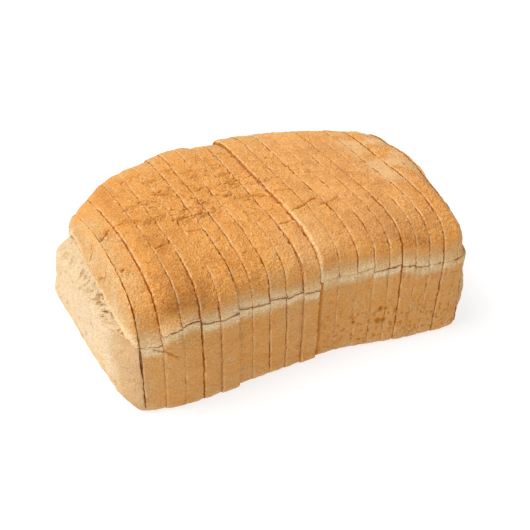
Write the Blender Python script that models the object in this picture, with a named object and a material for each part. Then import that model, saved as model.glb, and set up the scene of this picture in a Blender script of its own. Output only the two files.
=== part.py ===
"""Sliced white tin loaf: two heels and twenty slices that still stand as one loaf.

Lengths are in metres.  +X runs along the loaf to the right heel, -Y is the long front wall and
+Z is up; the origin is the middle of the loaf's bounding box, on the table under it.

A slice is the loaf's cross-section carried from one cut plane to the next.  In a cross-section
"depth" runs from the front base edge (0) to the back one (BASE_WIDTH) along the cut, and
"station" is the distance of the cut from the first cut, measured along the front base edge.

A hill is (height, centre, width) along the stations, and a rise is the pair of places where a
smooth step from nought to one starts and ends.
"""
import math
import random

import bpy
import bmesh
from mathutils import Vector

MM = 0.001

# The tin part of the loaf: a base with rounded edges and walls that flare to the crease.
BASE_WIDTH = 168 * MM
CENTRE_DEPTH = 0.5 * BASE_WIDTH
BASE_EDGE_RADIUS = 5 * MM
BASE_FORWARD = 2.5 * MM
BASE_BACKWARD = 2 * MM
WALL_FLARE = 5.5 * MM
WALL_SWELL = (4.5 * MM, 20 * MM, 14 * MM)
CREASE_HEIGHT = 67.4 * MM
CREASE_SWELLS = ((6.5 * MM, 30 * MM, 14 * MM), (2.5 * MM, 180 * MM, 20 * MM))
CREASE_DEPTH = 2.6 * MM
CREASE_HALF_HEIGHT = 3.0 * MM

# The risen crust above the crease: a squarish dome that overhangs the back wall.
CROWN_HEIGHT = 103 * MM
CROWN_SWELLS = ((2.5 * MM, 33 * MM, 20 * MM), (-2.5 * MM, 125 * MM, 35 * MM))
CROWN_RISE = 5.5 * MM
CROWN_RISE_STATIONS = (150 * MM, 215 * MM)
CROWN_BACK_RISE = 2.5 * MM
CROWN_BACK_RISE_DEPTHS = (60 * MM, 150 * MM)
CROWN_BACK_RISE_STATIONS = (205 * MM, 140 * MM)
CROWN_BACK_SWELL = (4.5 * MM, 90 * MM, 16 * MM)
CROWN_BACK_SWELL_DEPTHS = (110 * MM, 165 * MM)
CROWN_FRONT_OVERHANG = 4.0 * MM
CROWN_BACK_OVERHANG = 13 * MM
CROWN_FRONT_SQUARENESS = 3.1
CROWN_BACK_SQUARENESS = 4.6
CROWN_SPRING = 4.6 * MM
BACK_LIP_PROUD = 1.5 * MM
BACK_LIP_INSET = 2 * MM

# Where the loaf curves in towards its ends.
RIGHT_END_LENGTH = 15 * MM
RIGHT_END_PAST = 6 * MM
RIGHT_END_DROP = 3 * MM
RIGHT_END_FRONT_DROP = 14 * MM
RIGHT_END_FRONT_DEPTHS = (100 * MM, 20 * MM)
LEFT_BACK_DROP = (27 * MM, -10 * MM, 42 * MM)
LEFT_BACK_DROP_DEPTHS = (50 * MM, 175 * MM)
RIGHT_BACK_DROP = (4 * MM, 256 * MM, 16 * MM)
RIGHT_BACK_DROP_DEPTHS = (60 * MM, 150 * MM)
LEFT_BACK_TRIM = 47 * MM
LEFT_BACK_TRIM_START = -3 * MM
LEFT_BACK_TRIM_FADE = 25 * MM
RIGHT_BACK_TRIM = 26 * MM
RIGHT_BACK_TRIM_START = 165 * MM
BASE_SHARE_OF_TRIM = 0.1
FRONT_CORNER_LENGTH = 12 * MM
FRONT_CORNER_TRIM = 3 * MM
FRONT_CORNER_LEAN = 4 * MM
FRONT_CORNER_CROWN_TRIM = 15 * MM

# The cuts.
SLICE_COUNT = 20
SLICE_THICKNESS_LEFT = 13.8 * MM
SLICE_THICKNESS_RIGHT = 11.5 * MM
THICKER_SLICES = {11: 1.8 * MM, 12: 1.8 * MM}
THINNER_SLICES = {6: 2.6 * MM, 14: 1.0 * MM, 15: 2.8 * MM, 16: 1.6 * MM, 17: 1.2 * MM}
CUT_GAP = 0.4 * MM
CUT_SKEW = math.radians(4.9)
CUT_FAN = math.radians(2.4)
FAN_START = 205 * MM

# The slices no longer stand in a straight line, and one stands up and out from its neighbour.
ROW_BOWS = ((8.0 * MM, 141 * MM, 46 * MM), (-5.0 * MM, 30 * MM, 28 * MM))
FORWARD_STEPS = {4: 1.0 * MM, 5: 2.5 * MM, 9: 0.8 * MM, 10: 2.5 * MM}
SLIDE_JITTER = 0.35 * MM
LIFT_JITTER = 0.5 * MM
JITTER_SEED = 22
STEP_SLICE = 11
STEP_CREASE = 4.0 * MM
STEP_CREASE_WIDTH = 45 * MM
STEP_CROWN = 3.5 * MM
STEP_PROUD = 2.0 * MM
STEP_WIDTH = 30 * MM

# The heels: how far the end wall stands beyond the outer cut, and how it leans and rounds off.
LEFT_HEEL_THICKNESS = 11.6 * MM
LEFT_HEEL_WEDGE = 0.062
RIGHT_HEEL_THICKNESS = 6.5 * MM
RIGHT_HEEL_WEDGE = 0.11
THINNEST_HEEL = 2.5 * MM
LEFT_END_LEAN = 8 * MM
RIGHT_END_LEAN = 9 * MM
END_LEAN_HEIGHTS = (0.1, 1.2)
END_LEAN_BACK_SHARE = 0.35
END_LEAN_BACK_DEPTHS = (95 * MM, 150 * MM)
END_CROWN_LEAN = 10 * MM
END_CROWN_LEAN_HEIGHTS = (1.0, 1.12)
END_CROWN_LEAN_DEPTHS = (70 * MM, 140 * MM)
END_CORNER_FRONT = 45 * MM
END_CORNER_BACK = 9 * MM
END_CROWN_CORNER = 14 * MM
END_CROWN_CORNER_HEIGHTS = (0.8, 1.1)
END_CROWN_DROP = 0.80
END_MIDDLE = 0.45
END_RINGS = (0.0, 0.3, 0.55, 0.75, 0.88, 0.96, 1.0)
END_WALL_RINGS = (0.8, 0.5, 0.2)

# Points round a cross-section.
BASE_POINTS = 6
EDGE_POINTS = 4
WALL_POINTS = 6
CREASE_POINTS = 5
CROWN_POINTS = 34
CROWN_FIRST = 0.35
CROWN_SPAN = 33.7

CRUST_COLOUR = (0.58, 0.30, 0.115, 1.0)
CRUST_ROUGHNESS = 0.72

QUARTER_TURN = 0.5 * math.pi


def bump(value, centre, width):
    """A smooth hill of height one."""
    return math.exp(-((value - centre) / width) ** 2)


def hills(value, *shapes):
    """The height of several hills together."""
    return sum(height * bump(value, centre, width) for height, centre, width in shapes)


def ramp(value, start, end):
    """A smooth step from nought at start to one at end."""
    t = min(max((value - start) / (end - start), 0.0), 1.0)
    return t * t * (3 - 2 * t)


def cut_stations():
    """The station of every cut, from the left heel to the right heel."""
    stations = [0.0]
    for index in range(SLICE_COUNT):
        share = index / (SLICE_COUNT - 1)
        thickness = SLICE_THICKNESS_LEFT + share * (SLICE_THICKNESS_RIGHT - SLICE_THICKNESS_LEFT)
        thickness += THICKER_SLICES.get(index + 1, 0.0) - THINNER_SLICES.get(index + 1, 0.0)
        stations.append(stations[-1] + thickness)
    return stations


STATIONS = cut_stations()
LAST_CUT = STATIONS[-1]
STEP_STATION = STATIONS[STEP_SLICE - 1]


def cut_skew(station):
    """How far a cut is turned from square; the last few fan open towards the back."""
    return CUT_SKEW - CUT_FAN * ramp(station, FAN_START, LAST_CUT)


def crease_height(station, stepped):
    """The height of the torn crease in the long walls."""
    step = hills(station, (STEP_CREASE, STEP_STATION, STEP_CREASE_WIDTH)) if stepped else 0.0
    return CREASE_HEIGHT + hills(station, *CREASE_SWELLS) + step


def crown_height(station, depth, stepped):
    """The height of the top crust, which falls away at the back of the left end."""
    height = CROWN_HEIGHT + hills(station, *CROWN_SWELLS)
    height += CROWN_RISE * ramp(station, *CROWN_RISE_STATIONS)
    height += (CROWN_BACK_RISE * ramp(depth, *CROWN_BACK_RISE_DEPTHS)
               * ramp(station, *CROWN_BACK_RISE_STATIONS))
    if stepped:
        height += hills(station, (STEP_CROWN, STEP_STATION, STEP_WIDTH))
    right_end = ramp(station, LAST_CUT - RIGHT_END_LENGTH, LAST_CUT + RIGHT_END_PAST)
    front_drop = RIGHT_END_FRONT_DROP * ramp(depth, *RIGHT_END_FRONT_DEPTHS)
    height -= right_end * (RIGHT_END_DROP + front_drop)
    height += hills(station, CROWN_BACK_SWELL) * ramp(depth, *CROWN_BACK_SWELL_DEPTHS)
    height -= hills(station, RIGHT_BACK_DROP) * ramp(depth, *RIGHT_BACK_DROP_DEPTHS)
    return height - hills(station, LEFT_BACK_DROP) * ramp(depth, *LEFT_BACK_DROP_DEPTHS)


def back_trim(station):
    """How far the back of the crown curves in towards the heels."""
    past = max(station - LEFT_BACK_TRIM_START, 0.0)
    left = LEFT_BACK_TRIM * math.exp(-past / LEFT_BACK_TRIM_FADE)
    return left + RIGHT_BACK_TRIM * ramp(station, RIGHT_BACK_TRIM_START, LAST_CUT)


def corner_trim(station, amount):
    """How far the last slice curves in at the front towards the right heel."""
    past = max(station - LAST_CUT + FRONT_CORNER_LENGTH, 0.0)
    return amount * (past / FRONT_CORNER_LENGTH) ** 2


def wall_front(station, height, crease):
    """Depth of the front wall at a height below the crease."""
    flare = WALL_FLARE - BASE_FORWARD + hills(station, WALL_SWELL)
    flare -= corner_trim(station, FRONT_CORNER_LEAN)
    return -BASE_FORWARD - flare * math.sin(QUARTER_TURN * min(height / crease, 1.0))



def crown_points(station, spring, front_reach, back_reach, stepped):
    """The dome from the front of the crown over to the back."""
    points = []
    for index in range(CROWN_POINTS):
        angle = math.pi * (index + CROWN_FIRST) / CROWN_SPAN
        front = angle < QUARTER_TURN
        squareness = CROWN_FRONT_SQUARENESS if front else CROWN_BACK_SQUARENESS
        across = abs(math.cos(angle)) ** (2 / squareness)
        up = math.sin(angle) ** (2 / squareness)
        depth = CENTRE_DEPTH + across * (-front_reach if front else back_reach)
        points.append((depth, spring + up * (crown_height(station, depth, stepped) - spring)))
    return points


def cross_section(station, stepped):
    """The loaf's outline at a cut as (depth, height) points, from the base round by the front."""
    radius = BASE_EDGE_RADIUS
    crease = crease_height(station, stepped)
    trim = corner_trim(station, FRONT_CORNER_TRIM)
    rear_trim = back_trim(station)
    back_edge = BASE_WIDTH + BASE_BACKWARD - BASE_SHARE_OF_TRIM * rear_trim
    front_edge = trim - BASE_FORWARD
    proud = hills(station, (STEP_PROUD, STEP_STATION, STEP_WIDTH)) if stepped else 0.0
    points = []
    for index in range(BASE_POINTS):
        share = (index + 0.5) / BASE_POINTS
        points.append((back_edge - radius - share * (back_edge - front_edge - 2 * radius), 0.0))
    for index in range(EDGE_POINTS):
        angle = QUARTER_TURN * index / (EDGE_POINTS - 1)
        points.append((front_edge + radius * (1 - math.sin(angle)),
                       radius * (1 - math.cos(angle))))
    wall_top = crease - CREASE_HALF_HEIGHT
    for index in range(1, WALL_POINTS):
        height = radius + index / (WALL_POINTS - 1) * (wall_top - radius)
        points.append((trim + wall_front(station, height, crease), height))
    lip = wall_front(station, crease, crease) + trim
    for index in range(1, CREASE_POINTS):
        share = index / CREASE_POINTS
        notch = math.sin(math.pi * share) * CREASE_DEPTH
        points.append((lip + notch - proud * share,
                       wall_top + 2 * CREASE_HALF_HEIGHT * share))
    crown_trim = corner_trim(station, FRONT_CORNER_CROWN_TRIM)
    front_reach = CENTRE_DEPTH - crown_trim + CROWN_FRONT_OVERHANG + proud
    back_reach = CENTRE_DEPTH + CROWN_BACK_OVERHANG - rear_trim
    points += crown_points(station, crease + CROWN_SPRING, front_reach, back_reach, stepped)
    back_lip = min(back_edge + WALL_FLARE, CENTRE_DEPTH + back_reach - BACK_LIP_INSET)
    for index in range(CREASE_POINTS):
        share = index / (CREASE_POINTS - 1)
        notch = math.sin(math.pi * share) * CREASE_DEPTH
        points.append((back_lip + (1 - share) * BACK_LIP_PROUD - notch,
                       crease + CREASE_HALF_HEIGHT * (1 - 2 * share)))
    for index in range(1, WALL_POINTS):
        height = wall_top - index / (WALL_POINTS - 1) * (wall_top - radius)
        flare = (back_lip - back_edge) * math.sin(QUARTER_TURN * height / crease)
        points.append((back_edge + flare, height))
    for index in range(1, EDGE_POINTS):
        angle = QUARTER_TURN * index / (EDGE_POINTS - 1)
        points.append((back_edge - radius * (1 - math.cos(angle)),
                       radius * (1 - math.sin(angle))))
    return points


def place(station, depth, height, offset, beyond=0.0):
    """A point of a cut in loaf coordinates; beyond is measured square to the front edge."""
    skew = cut_skew(station)
    return Vector((station + beyond - depth * math.sin(skew),
                   depth * math.cos(skew) + hills(station, *ROW_BOWS) + offset, height))


def slice_rings(number, rng):
    """The two cut faces of one slice."""
    stepped = number >= STEP_SLICE
    offset = rng.uniform(-SLIDE_JITTER, SLIDE_JITTER) - FORWARD_STEPS.get(number, 0.0)
    lift = rng.uniform(-LIFT_JITTER, LIFT_JITTER)
    rings = []
    for station in (STATIONS[number - 1] + 0.5 * CUT_GAP, STATIONS[number] - 0.5 * CUT_GAP):
        outline = cross_section(station, stepped)
        rings.append([place(station, depth, height + lift * ramp(height, 0.0, CROWN_HEIGHT), offset)
                      for depth, height in outline])
    return rings


def heel_rings(side):
    """Rings of a heel from its cut face to the middle of its end wall."""
    left = side < 0
    station = -0.5 * CUT_GAP if left else LAST_CUT + 0.5 * CUT_GAP
    outline = cross_section(station, not left)
    crease = crease_height(station, not left)
    base_thickness = LEFT_HEEL_THICKNESS if left else RIGHT_HEEL_THICKNESS
    wedge = LEFT_HEEL_WEDGE if left else RIGHT_HEEL_WEDGE
    full_lean = LEFT_END_LEAN if left else RIGHT_END_LEAN
    front_corner = END_CORNER_FRONT if left else END_CORNER_BACK
    lean_heights = [share * crease for share in END_LEAN_HEIGHTS]
    crown_lean_heights = [share * crease for share in END_CROWN_LEAN_HEIGHTS]
    corner_heights = [share * crease for share in END_CROWN_CORNER_HEIGHTS]
    middle = END_MIDDLE * crease

    def outward(depth, height, first_height):
        lean = full_lean * ramp(height, *lean_heights)
        lean *= 1 - (1 - END_LEAN_BACK_SHARE) * ramp(depth, *END_LEAN_BACK_DEPTHS)
        lean += (END_CROWN_LEAN * ramp(first_height, *crown_lean_heights)
                 * ramp(depth, *END_CROWN_LEAN_DEPTHS))
        return max(base_thickness + wedge * depth - lean, THINNEST_HEEL)

    rings = []
    for reach in END_RINGS:
        inset = 1 - math.sqrt(1 - reach ** 2)
        ring = []
        for depth, height in outline:
            corner = front_corner if depth < CENTRE_DEPTH else END_CORNER_BACK
            corner += (END_CROWN_CORNER - corner) * ramp(height, *corner_heights)
            shrink = 1 - corner / CENTRE_DEPTH * inset
            new_depth = CENTRE_DEPTH + (depth - CENTRE_DEPTH) * shrink
            if height > crease:
                new_height = crease + (height - crease) * (1 - END_CROWN_DROP * inset)
            else:
                new_height = height + BASE_EDGE_RADIUS * inset * (1 - height / crease)
            ring.append((new_depth, new_height, height, reach))
        rings.append(ring)
    rim = rings[-1]
    for scale in END_WALL_RINGS:
        rings.append([(CENTRE_DEPTH + (depth - CENTRE_DEPTH) * scale,
                       middle + (height - middle) * scale,
                       middle + (first_height - middle) * scale, 1.0)
                      for depth, height, first_height, _ in rim])
    return [[place(station, depth, height, 0.0,
                   side * reach * outward(depth, height, first_height))
             for depth, height, first_height, reach in ring] for ring in rings]


def loft(name, rings, material):
    """A closed solid through the rings, with a flat face over the first and the last."""
    mesh = bpy.data.meshes.new(name)
    body = bmesh.new()
    loops = [[body.verts.new(point) for point in ring] for ring in rings]
    count = len(loops[0])
    for near, far in zip(loops, loops[1:]):
        for index in range(count):
            after = (index + 1) % count
            body.faces.new((near[index], near[after], far[after], far[index]))
    body.faces.new(list(reversed(loops[0])))
    body.faces.new(loops[-1])
    bmesh.ops.recalc_face_normals(body, faces=body.faces)
    body.to_mesh(mesh)
    body.free()
    mesh.materials.append(material)
    mesh.update()
    part = bpy.data.objects.new(name, mesh)
    bpy.context.scene.collection.objects.link(part)
    return part


def crust_material():
    """Plain baked crust."""
    material = bpy.data.materials.new("bread_crust")
    material.use_nodes = True
    shader = material.node_tree.nodes["Principled BSDF"]
    shader.inputs["Base Color"].default_value = CRUST_COLOUR
    shader.inputs["Roughness"].default_value = CRUST_ROUGHNESS
    shader.inputs["Metallic"].default_value = 0.0
    return material


def centre_on_origin(parts):
    """Move every vertex so that the loaf stands in the middle of its bounding box."""
    points = [vertex.co for part in parts for vertex in part.data.vertices]
    low = [min(point[axis] for point in points) for axis in range(3)]
    high = [max(point[axis] for point in points) for axis in range(3)]
    shift = Vector((0.5 * (low[0] + high[0]), 0.5 * (low[1] + high[1]), low[2]))
    for part in parts:
        for vertex in part.data.vertices:
            vertex.co -= shift
        part.data.update()


def main():
    for old in list(bpy.data.objects):
        bpy.data.objects.remove(old, do_unlink=True)
    crust = crust_material()
    rng = random.Random(JITTER_SEED)
    parts = [loft("heel_left", heel_rings(-1), crust)]
    for number in range(1, SLICE_COUNT + 1):
        parts.append(loft(f"slice_{number:02d}", slice_rings(number, rng), crust))
    parts.append(loft("heel_right", heel_rings(1), crust))
    centre_on_origin(parts)


main()
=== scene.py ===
"""The looks of the sliced tin loaf: every slice and heel as a dense crust with a torn crease,
cut edges, cracks and crumb.

Lengths are in millimetres until a piece is made; the studio is in metres.  A point of the loaf
is given by "station" (distance of its cut from the first cut, along the front base edge),
"depth" (from the front base edge back along the cut) and "height".  "Above" is the height over
the tear between the wall and the risen crown.  Every surface is worked out in these terms,
roughened, and then put in the frame.

A hill is (height, centre, width), and (centre, width) where its height is one.  A rise is
(height, start, end) of a smooth step, and (start, end) where its height is one.  A noise is
(size, seed) or (size, layers, seed), a ripple (height, size, seed), and patches are (size, seed,
start, end), with the values of the noise where they start and are whole.

Seven values are kept on every point of the surface: "bake" from pale to brown, "dark" for
darker crust in cracks and specks and for painted shade in hollows, grooves, gaps and corners,
"pale" for flour, crumbs and painted highlights, "crumb" for torn and cut bread and for painted
shade on the left heel's front corner, "grain" for the strength of the finest mottling, which
where it is weaker also lets in a grey painted shade, "edge" for the distance to the nearest cut
and "open" for how open it is.
"""
import math
import random

import bpy
import numpy as np
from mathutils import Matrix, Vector


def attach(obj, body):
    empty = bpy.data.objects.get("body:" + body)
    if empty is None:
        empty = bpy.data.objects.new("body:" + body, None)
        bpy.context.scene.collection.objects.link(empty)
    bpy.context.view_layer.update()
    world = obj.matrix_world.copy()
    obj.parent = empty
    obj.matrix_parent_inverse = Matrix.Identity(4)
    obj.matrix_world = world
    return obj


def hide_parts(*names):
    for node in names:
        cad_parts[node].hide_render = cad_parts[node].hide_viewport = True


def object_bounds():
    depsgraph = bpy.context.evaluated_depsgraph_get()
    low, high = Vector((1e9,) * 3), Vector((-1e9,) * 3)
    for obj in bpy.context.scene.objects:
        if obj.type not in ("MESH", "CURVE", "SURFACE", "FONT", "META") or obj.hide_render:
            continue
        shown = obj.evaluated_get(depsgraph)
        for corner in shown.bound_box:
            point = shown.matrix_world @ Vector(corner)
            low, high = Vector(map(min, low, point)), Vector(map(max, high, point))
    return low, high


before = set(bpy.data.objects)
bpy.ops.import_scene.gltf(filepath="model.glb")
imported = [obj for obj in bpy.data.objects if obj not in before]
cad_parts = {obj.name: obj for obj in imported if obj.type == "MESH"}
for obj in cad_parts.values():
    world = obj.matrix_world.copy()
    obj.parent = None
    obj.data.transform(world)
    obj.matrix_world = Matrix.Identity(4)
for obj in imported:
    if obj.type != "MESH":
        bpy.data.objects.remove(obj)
cad_low, cad_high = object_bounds()

MM = 0.001
QUARTER_TURN = 0.5 * math.pi
TINY = 1e-12

# How far the rounding of a line looks to either side, in widths of the rounding.
KERNEL_REACH = 3

# Where the first cut's front base point lies in the frame.
FIRST_CUT_FRONT = np.array((-114.859, -87.114, 0.0))

# The tin part of the loaf: a base with rounded edges and walls that flare to the crease.
BASE_WIDTH = 168
CENTRE_DEPTH = 0.5 * BASE_WIDTH
BASE_EDGE_RADIUS = 4
BASE_FORWARD = 3.2
BASE_BACKWARD = 2
WALL_FLARE = 5.5
WALL_SWELL = (4.5, 20, 14)
CREASE_HEIGHT = 67.4
CREASE_SWELLS = ((6.5, 30, 14), (2.5, 180, 20))

# The risen crown above the crease.
CROWN_HEIGHT = 103
CROWN_SWELLS = ((2.5, 33, 20), (-2.5, 125, 35))
CROWN_RISE = (5.5, 150, 215)
CROWN_BACK_RISE = (2.5, 60, 150)
CROWN_BACK_RISE_STATIONS = (205, 140)
CROWN_BACK_SWELLS = ((3.0, 94, 18), (2.0, 118, 9), (2.2, 204, 26))
CROWN_BACK_SWELL_DEPTHS = (110, 165)
CROWN_FRONT_OVERHANG = 4
CROWN_BACK_OVERHANG = 13
CROWN_FRONT_SQUARENESS = 3.1
CROWN_BACK_SQUARENESS = 4.6
CROWN_SPRING = 4.6
CROWN_SMOOTHING = 3.0
BACK_LIP_PROUD = 1.5
BACK_LIP_INSET = 2

# Where the loaf curves in towards its ends.
RIGHT_END_LENGTH = 15
RIGHT_END_PAST = 6
RIGHT_END_DROP = 3
RIGHT_END_FRONT_DROP = (14, 100, 20)
LEFT_BACK_DROP = (27, -10, 42)
LEFT_BACK_DROP_DEPTHS = (50, 175)
RIGHT_BACK_DROP = (4, 256, 16)
RIGHT_BACK_DROP_DEPTHS = (60, 150)
LEFT_BACK_TRIM = 47
LEFT_BACK_TRIM_START = -3
LEFT_BACK_TRIM_FADE = 25
RIGHT_BACK_TRIM = 26
RIGHT_BACK_TRIM_START = 165
BASE_SHARE_OF_TRIM = 0.1
FRONT_CORNER_LENGTH = 12
FRONT_CORNER_TRIM = 3
FRONT_CORNER_LEAN = 4
FRONT_CORNER_CROWN_TRIM = 15

# The cuts.
SLICE_COUNT = 20
SLICE_THICKNESS_LEFT = 13.8
SLICE_THICKNESS_RIGHT = 11.5
THICKER_SLICES = {11: 1.8, 12: 1.8}
THINNER_SLICES = {6: 2.6, 14: 1.0, 15: 2.8, 16: 1.6, 17: 1.2}
CUT_SKEW = math.radians(4.9)
CUT_FAN = math.radians(2.4)
FAN_START = 205

# The slices no longer stand in a straight line, and one stands up and out from its neighbour.
ROW_BOWS = ((8.0, 141, 46), (-5.0, 30, 28))
FORWARD_STEPS = {4: 1.0, 5: 2.5, 9: 0.8, 10: 2.5}
SLIDE_JITTER = 0.35
LIFT_JITTER = 0.5
JITTER_SEED = 22
STEP_SLICE = 11
STEP_CREASE = 4.0
STEP_CREASE_WIDTH = 45
STEP_CROWN = 3.5
STEP_PROUD = 2.0
STEP_WIDTH = 30

# The heels: how thick they are, and how their end walls lean in, turn and are tucked.
LEFT_HEEL_THICKNESS = 11.6
LEFT_HEEL_WEDGE = 0.062
RIGHT_HEEL_THICKNESS = 9.5
RIGHT_HEEL_WEDGE = 0.11
THINNEST_HEEL = 2.5
LEFT_END_LEAN = 8
RIGHT_END_LEAN = 9
END_LEAN_HEIGHTS = (0.1, 1.2)
END_LEAN_BACK_LOSS = (0.65, 95, 150)
END_CROWN_LEAN = (10, 70, 140)
HEEL_SMOOTHING = 3.0
RIGHT_END_TUCK = 8
END_TUCK_HEIGHTS = (36, 0)
END_CORNER_FRONT = 45
END_CORNER_BACK = 9
END_CROWN_CORNER = 14
END_CROWN_CORNER_HEIGHTS = (0.2, 1.1)
END_CROWN_DROP = 0.80
END_MIDDLE = 0.45

# The tear in the front wall: its size, its ripples, which start at another place of the noise
# in every slice, and by how much its line leaves the solids' crease at a slice's left and right
# cut.
TEAR_HALF_HEIGHT = 0.3
TEAR_DEPTH = 0.9
TEAR_BLUNTNESS = 0.8
LIP_START = 0.42
TEAR_RIPPLES = ((0.4875, 5.5, 3), (0.2625, 1.7, 4))
TEAR_NOISE_PLACES = (310, 13)
ZIGZAG_RIPPLE = (1.5, 3.0, 9)
ZIGZAG_SLICE = 1
TEAR_JUMPS = {0: (-6.6, -6.6), 1: (-6.6, -6.4), 3: (0.3, 2.2), 5: (0.6, 2.0), 6: (2.2, 1.0),
              8: (1.0, 0.0), 10: (-0.6, -2.6), 11: (0.6, 0.0), 13: (0.3, 2.6), 14: (-2.2, -0.2),
              15: (0.2, 2.4), 16: (0.8, 0.6), 20: (0.0, 1.2)}
BACK_TEAR_RISE = -1.9
BACK_TEAR_RIPPLE = (0.75, 4, 6)
BACK_NOISE_PLACE = 700

# How open each cut is, from nought to one: in the wall, on the shoulder, on the top and at the
# back; where it changes from one to the next; and how it ripples, wavers and gapes.
OPENNESS = (
    (0.75, 0.75, 0.70, 0.60), (0.10, 0.80, 0.70, 0.35), (0.30, 0.50, 0.45, 0.20),
    (0.95, 0.85, 0.35, 0.15), (0.10, 0.50, 0.45, 0.25), (0.25, 0.75, 0.40, 0.15),
    (0.10, 0.25, 0.65, 0.25), (0.60, 0.95, 0.60, 0.20), (0.10, 0.45, 0.50, 0.25),
    (0.05, 0.75, 0.45, 0.35), (0.85, 0.30, 0.25, 0.30), (0.15, 0.35, 0.20, 0.20),
    (0.20, 0.60, 0.65, 0.45), (0.35, 0.60, 0.50, 0.30), (0.30, 0.60, 0.40, 0.25),
    (0.90, 0.90, 0.40, 0.15), (0.30, 0.50, 0.25, 0.10), (0.50, 0.60, 0.60, 0.85),
    (0.60, 0.70, 0.80, 0.90), (0.40, 0.45, 0.80, 0.95), (0.20, 0.30, 0.60, 0.70),
)
OPEN_SHOULDER_HEIGHTS = (-2, 3)
OPEN_TOP_DEPTHS = (22, 48)
OPEN_TOP_HEIGHTS = (0, 8)
OPEN_BACK_DEPTHS = (85, 120)
OPEN_RIPPLES = ((0.22, 9, 73), (0.16, 2.6, 74))
OPEN_CREST = (8, 24)
OPEN_CREST_RIPPLES = ((0.14, 9, 73), (0.14, 2.6, 74))
CUT_RIPPLES = ((0.204, 3.2, 70), (0.136, 1.5, 71))
CUT_NOISE_STEP = 50
GAP_SPREAD = 0.08

# The dark wedge between the left heel and the first slice, under the tear.
WEDGE = (0.75, 50, 9)
WEDGE_DEPTHS = (16, 0)

# Points round a cross-section, the angles that the crown's curve is worked out at, and rings
# across a slice, a cut face and a heel.  Angles are in radians.
BASE_POINTS = 18
EDGE_POINTS = 8
WALL_POINTS = 76
TEAR_POINTS = 13
CROWN_POINTS = 384
BACK_THINNING = (0.38, 80, 120)
BACK_TEAR_POINTS = 10
BACK_WALL_POINTS = 36
CROWN_TURN_START = 0.0326
CROWN_TURN_END = 3.108965
CROWN_TURN_COUNT = 900
CROWN_TURNS = np.linspace(CROWN_TURN_START, CROWN_TURN_END, CROWN_TURN_COUNT)
RIM_RINGS = (0.0, 0.16, 0.4, 0.75, 1.25)
RING_SPACING = 0.72
CAP_INSETS = (0.004, 0.012, 0.035)
OPEN_CAP_INSETS = (0.004, 0.008, 0.013, 0.019, 0.026, 0.034, 0.043, 0.055, 0.07)
CAP_SETTLING = 0.012
HEEL_RINGS = 46
HEEL_RING_CROWDING = 1.15
END_RINGS = 52
END_RING_CROWDING = 1.25

# Roughness of the crust, and where the wall ends at the tear and the base at its edge.
INWARD = 0.22
SWELL = 0.6
SWELL_NOISE = (24, 2, 1)
LUMPS = 0.34
LUMP_NOISE = (7, 2, 2)
GRAIN = 0.22
GRAIN_NOISE = (1.9, 2, 3)
CROSS_SWELL = 0.25
WALL_TOP = (-2, 2)
BASE_TOP = (0.2, 4)

# Wrinkled skin over the top, drawn out along the loaf.
CREST = (86, 98)
WRINKLE_STRETCH = np.array((2.4, 1.0, 1.0))
WRINKLE_NOISE = (4.4, 2, 11)
WRINKLED = (26, 12, -0.45, 0.45)
WRINKLED_RIGHT = (225, 190)
WRINKLED_LEFT = (0, 14)
FOLD = (0.90, 1.0)
FOLD_DEPTH = 0.5
# Painted shade in the folds.
FOLD_DARK = 0.2

# Cracks seen in the top, as (station, depth) points, with their strength.
SEEN_CRACKS = (
    (((13, 77), (18, 80), (24, 82), (29, 81), (33, 75), (40, 76), (50, 78)), 1.35),
    (((52, 68), (58, 68), (66, 71)), 1.5), (((66, 67), (71, 66), (79, 70)), 1.8),
    (((29, 41), (33, 42), (39, 43)), 0.7), (((50, 127), (57, 125), (69, 125)), 0.8),
    (((50, 109), (59, 105), (66, 104)), 0.65), (((71, 136), (76, 134)), 1.0),
    (((81, 125), (89, 125), (98, 123)), 0.8), (((72, 101), (77, 99)), 0.9),
    (((106, 97), (116, 94)), 0.8), (((94, 84), (101, 81), (116, 80)), 0.8),
    (((103, 58), (102, 50)), 1.0), (((83, 48), (90, 47), (97, 47)), 0.7),
    (((130, 90), (139, 88), (149, 86)), 0.8), (((157, 101), (166, 100)), 0.8),
    (((130, 71), (140, 67), (146, 67)), 0.8), (((131, 39), (139, 42), (147, 45), (157, 51)), 0.75),
    (((118, 35), (129, 36)), 0.6), (((168, 92), (168, 86)), 0.9), (((1, 62), (5, 69), (11, 80)), 1.1),
    (((2, 25), (6, 29)), 0.8), (((79, 81), (88, 81)), 0.7), (((36, 101), (46, 97), (53, 97)), 0.7),
    (((24, 97), (32, 103), (41, 100)), 0.6), (((152, 40), (163, 44), (172, 47)), 0.5),
    (((191, 78), (201, 71)), 0.5), (((113, 130), (116, 129)), 1.4),
)

# Short cracks between them: the least, greatest and likeliest station, the middle and spread of
# their depths and tilts, and their lengths, parts and strengths.
CRACK_SEED = 5
CRACK_COUNT = 75
CRACK_STATIONS = (12, 205, 70)
CRACK_DEPTHS = (98, 28)
CRACK_FRONT = 45
CRACK_LENGTHS = (3, 7)
CRACK_PARTS = 2
CRACK_TILTS = (-0.1, 0.35)
CRACK_STRENGTHS = (0.2, 0.75)

# The section of a crack: a groove between a raised lip and a dip, darker at its bottom, partly as
# darker crust and partly as painted shade of the groove.
CRACK_HEIGHTS = (80, 92)
CRACK_ENDS = (-0.3, 2.4)
CRACK_TAPER = (0, 5)
CRACK_RIPPLES = ((0.8, 4.5, 21), (0.3, 1.5, 22))
CRACK_WIDTHS = (0.45, 1.15)
CRACK_GROOVE = 2.5
CRACK_SIDES = ((1.2, -2.4, 2.0), (-0.48, 1.6, 1.6))
CRACK_DARK_AND_SHADE_SHIFT = 0.2
CRACK_DARK_AND_SHADE_WIDTH = 1.2
CRACK_DARK = 1.5

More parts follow.
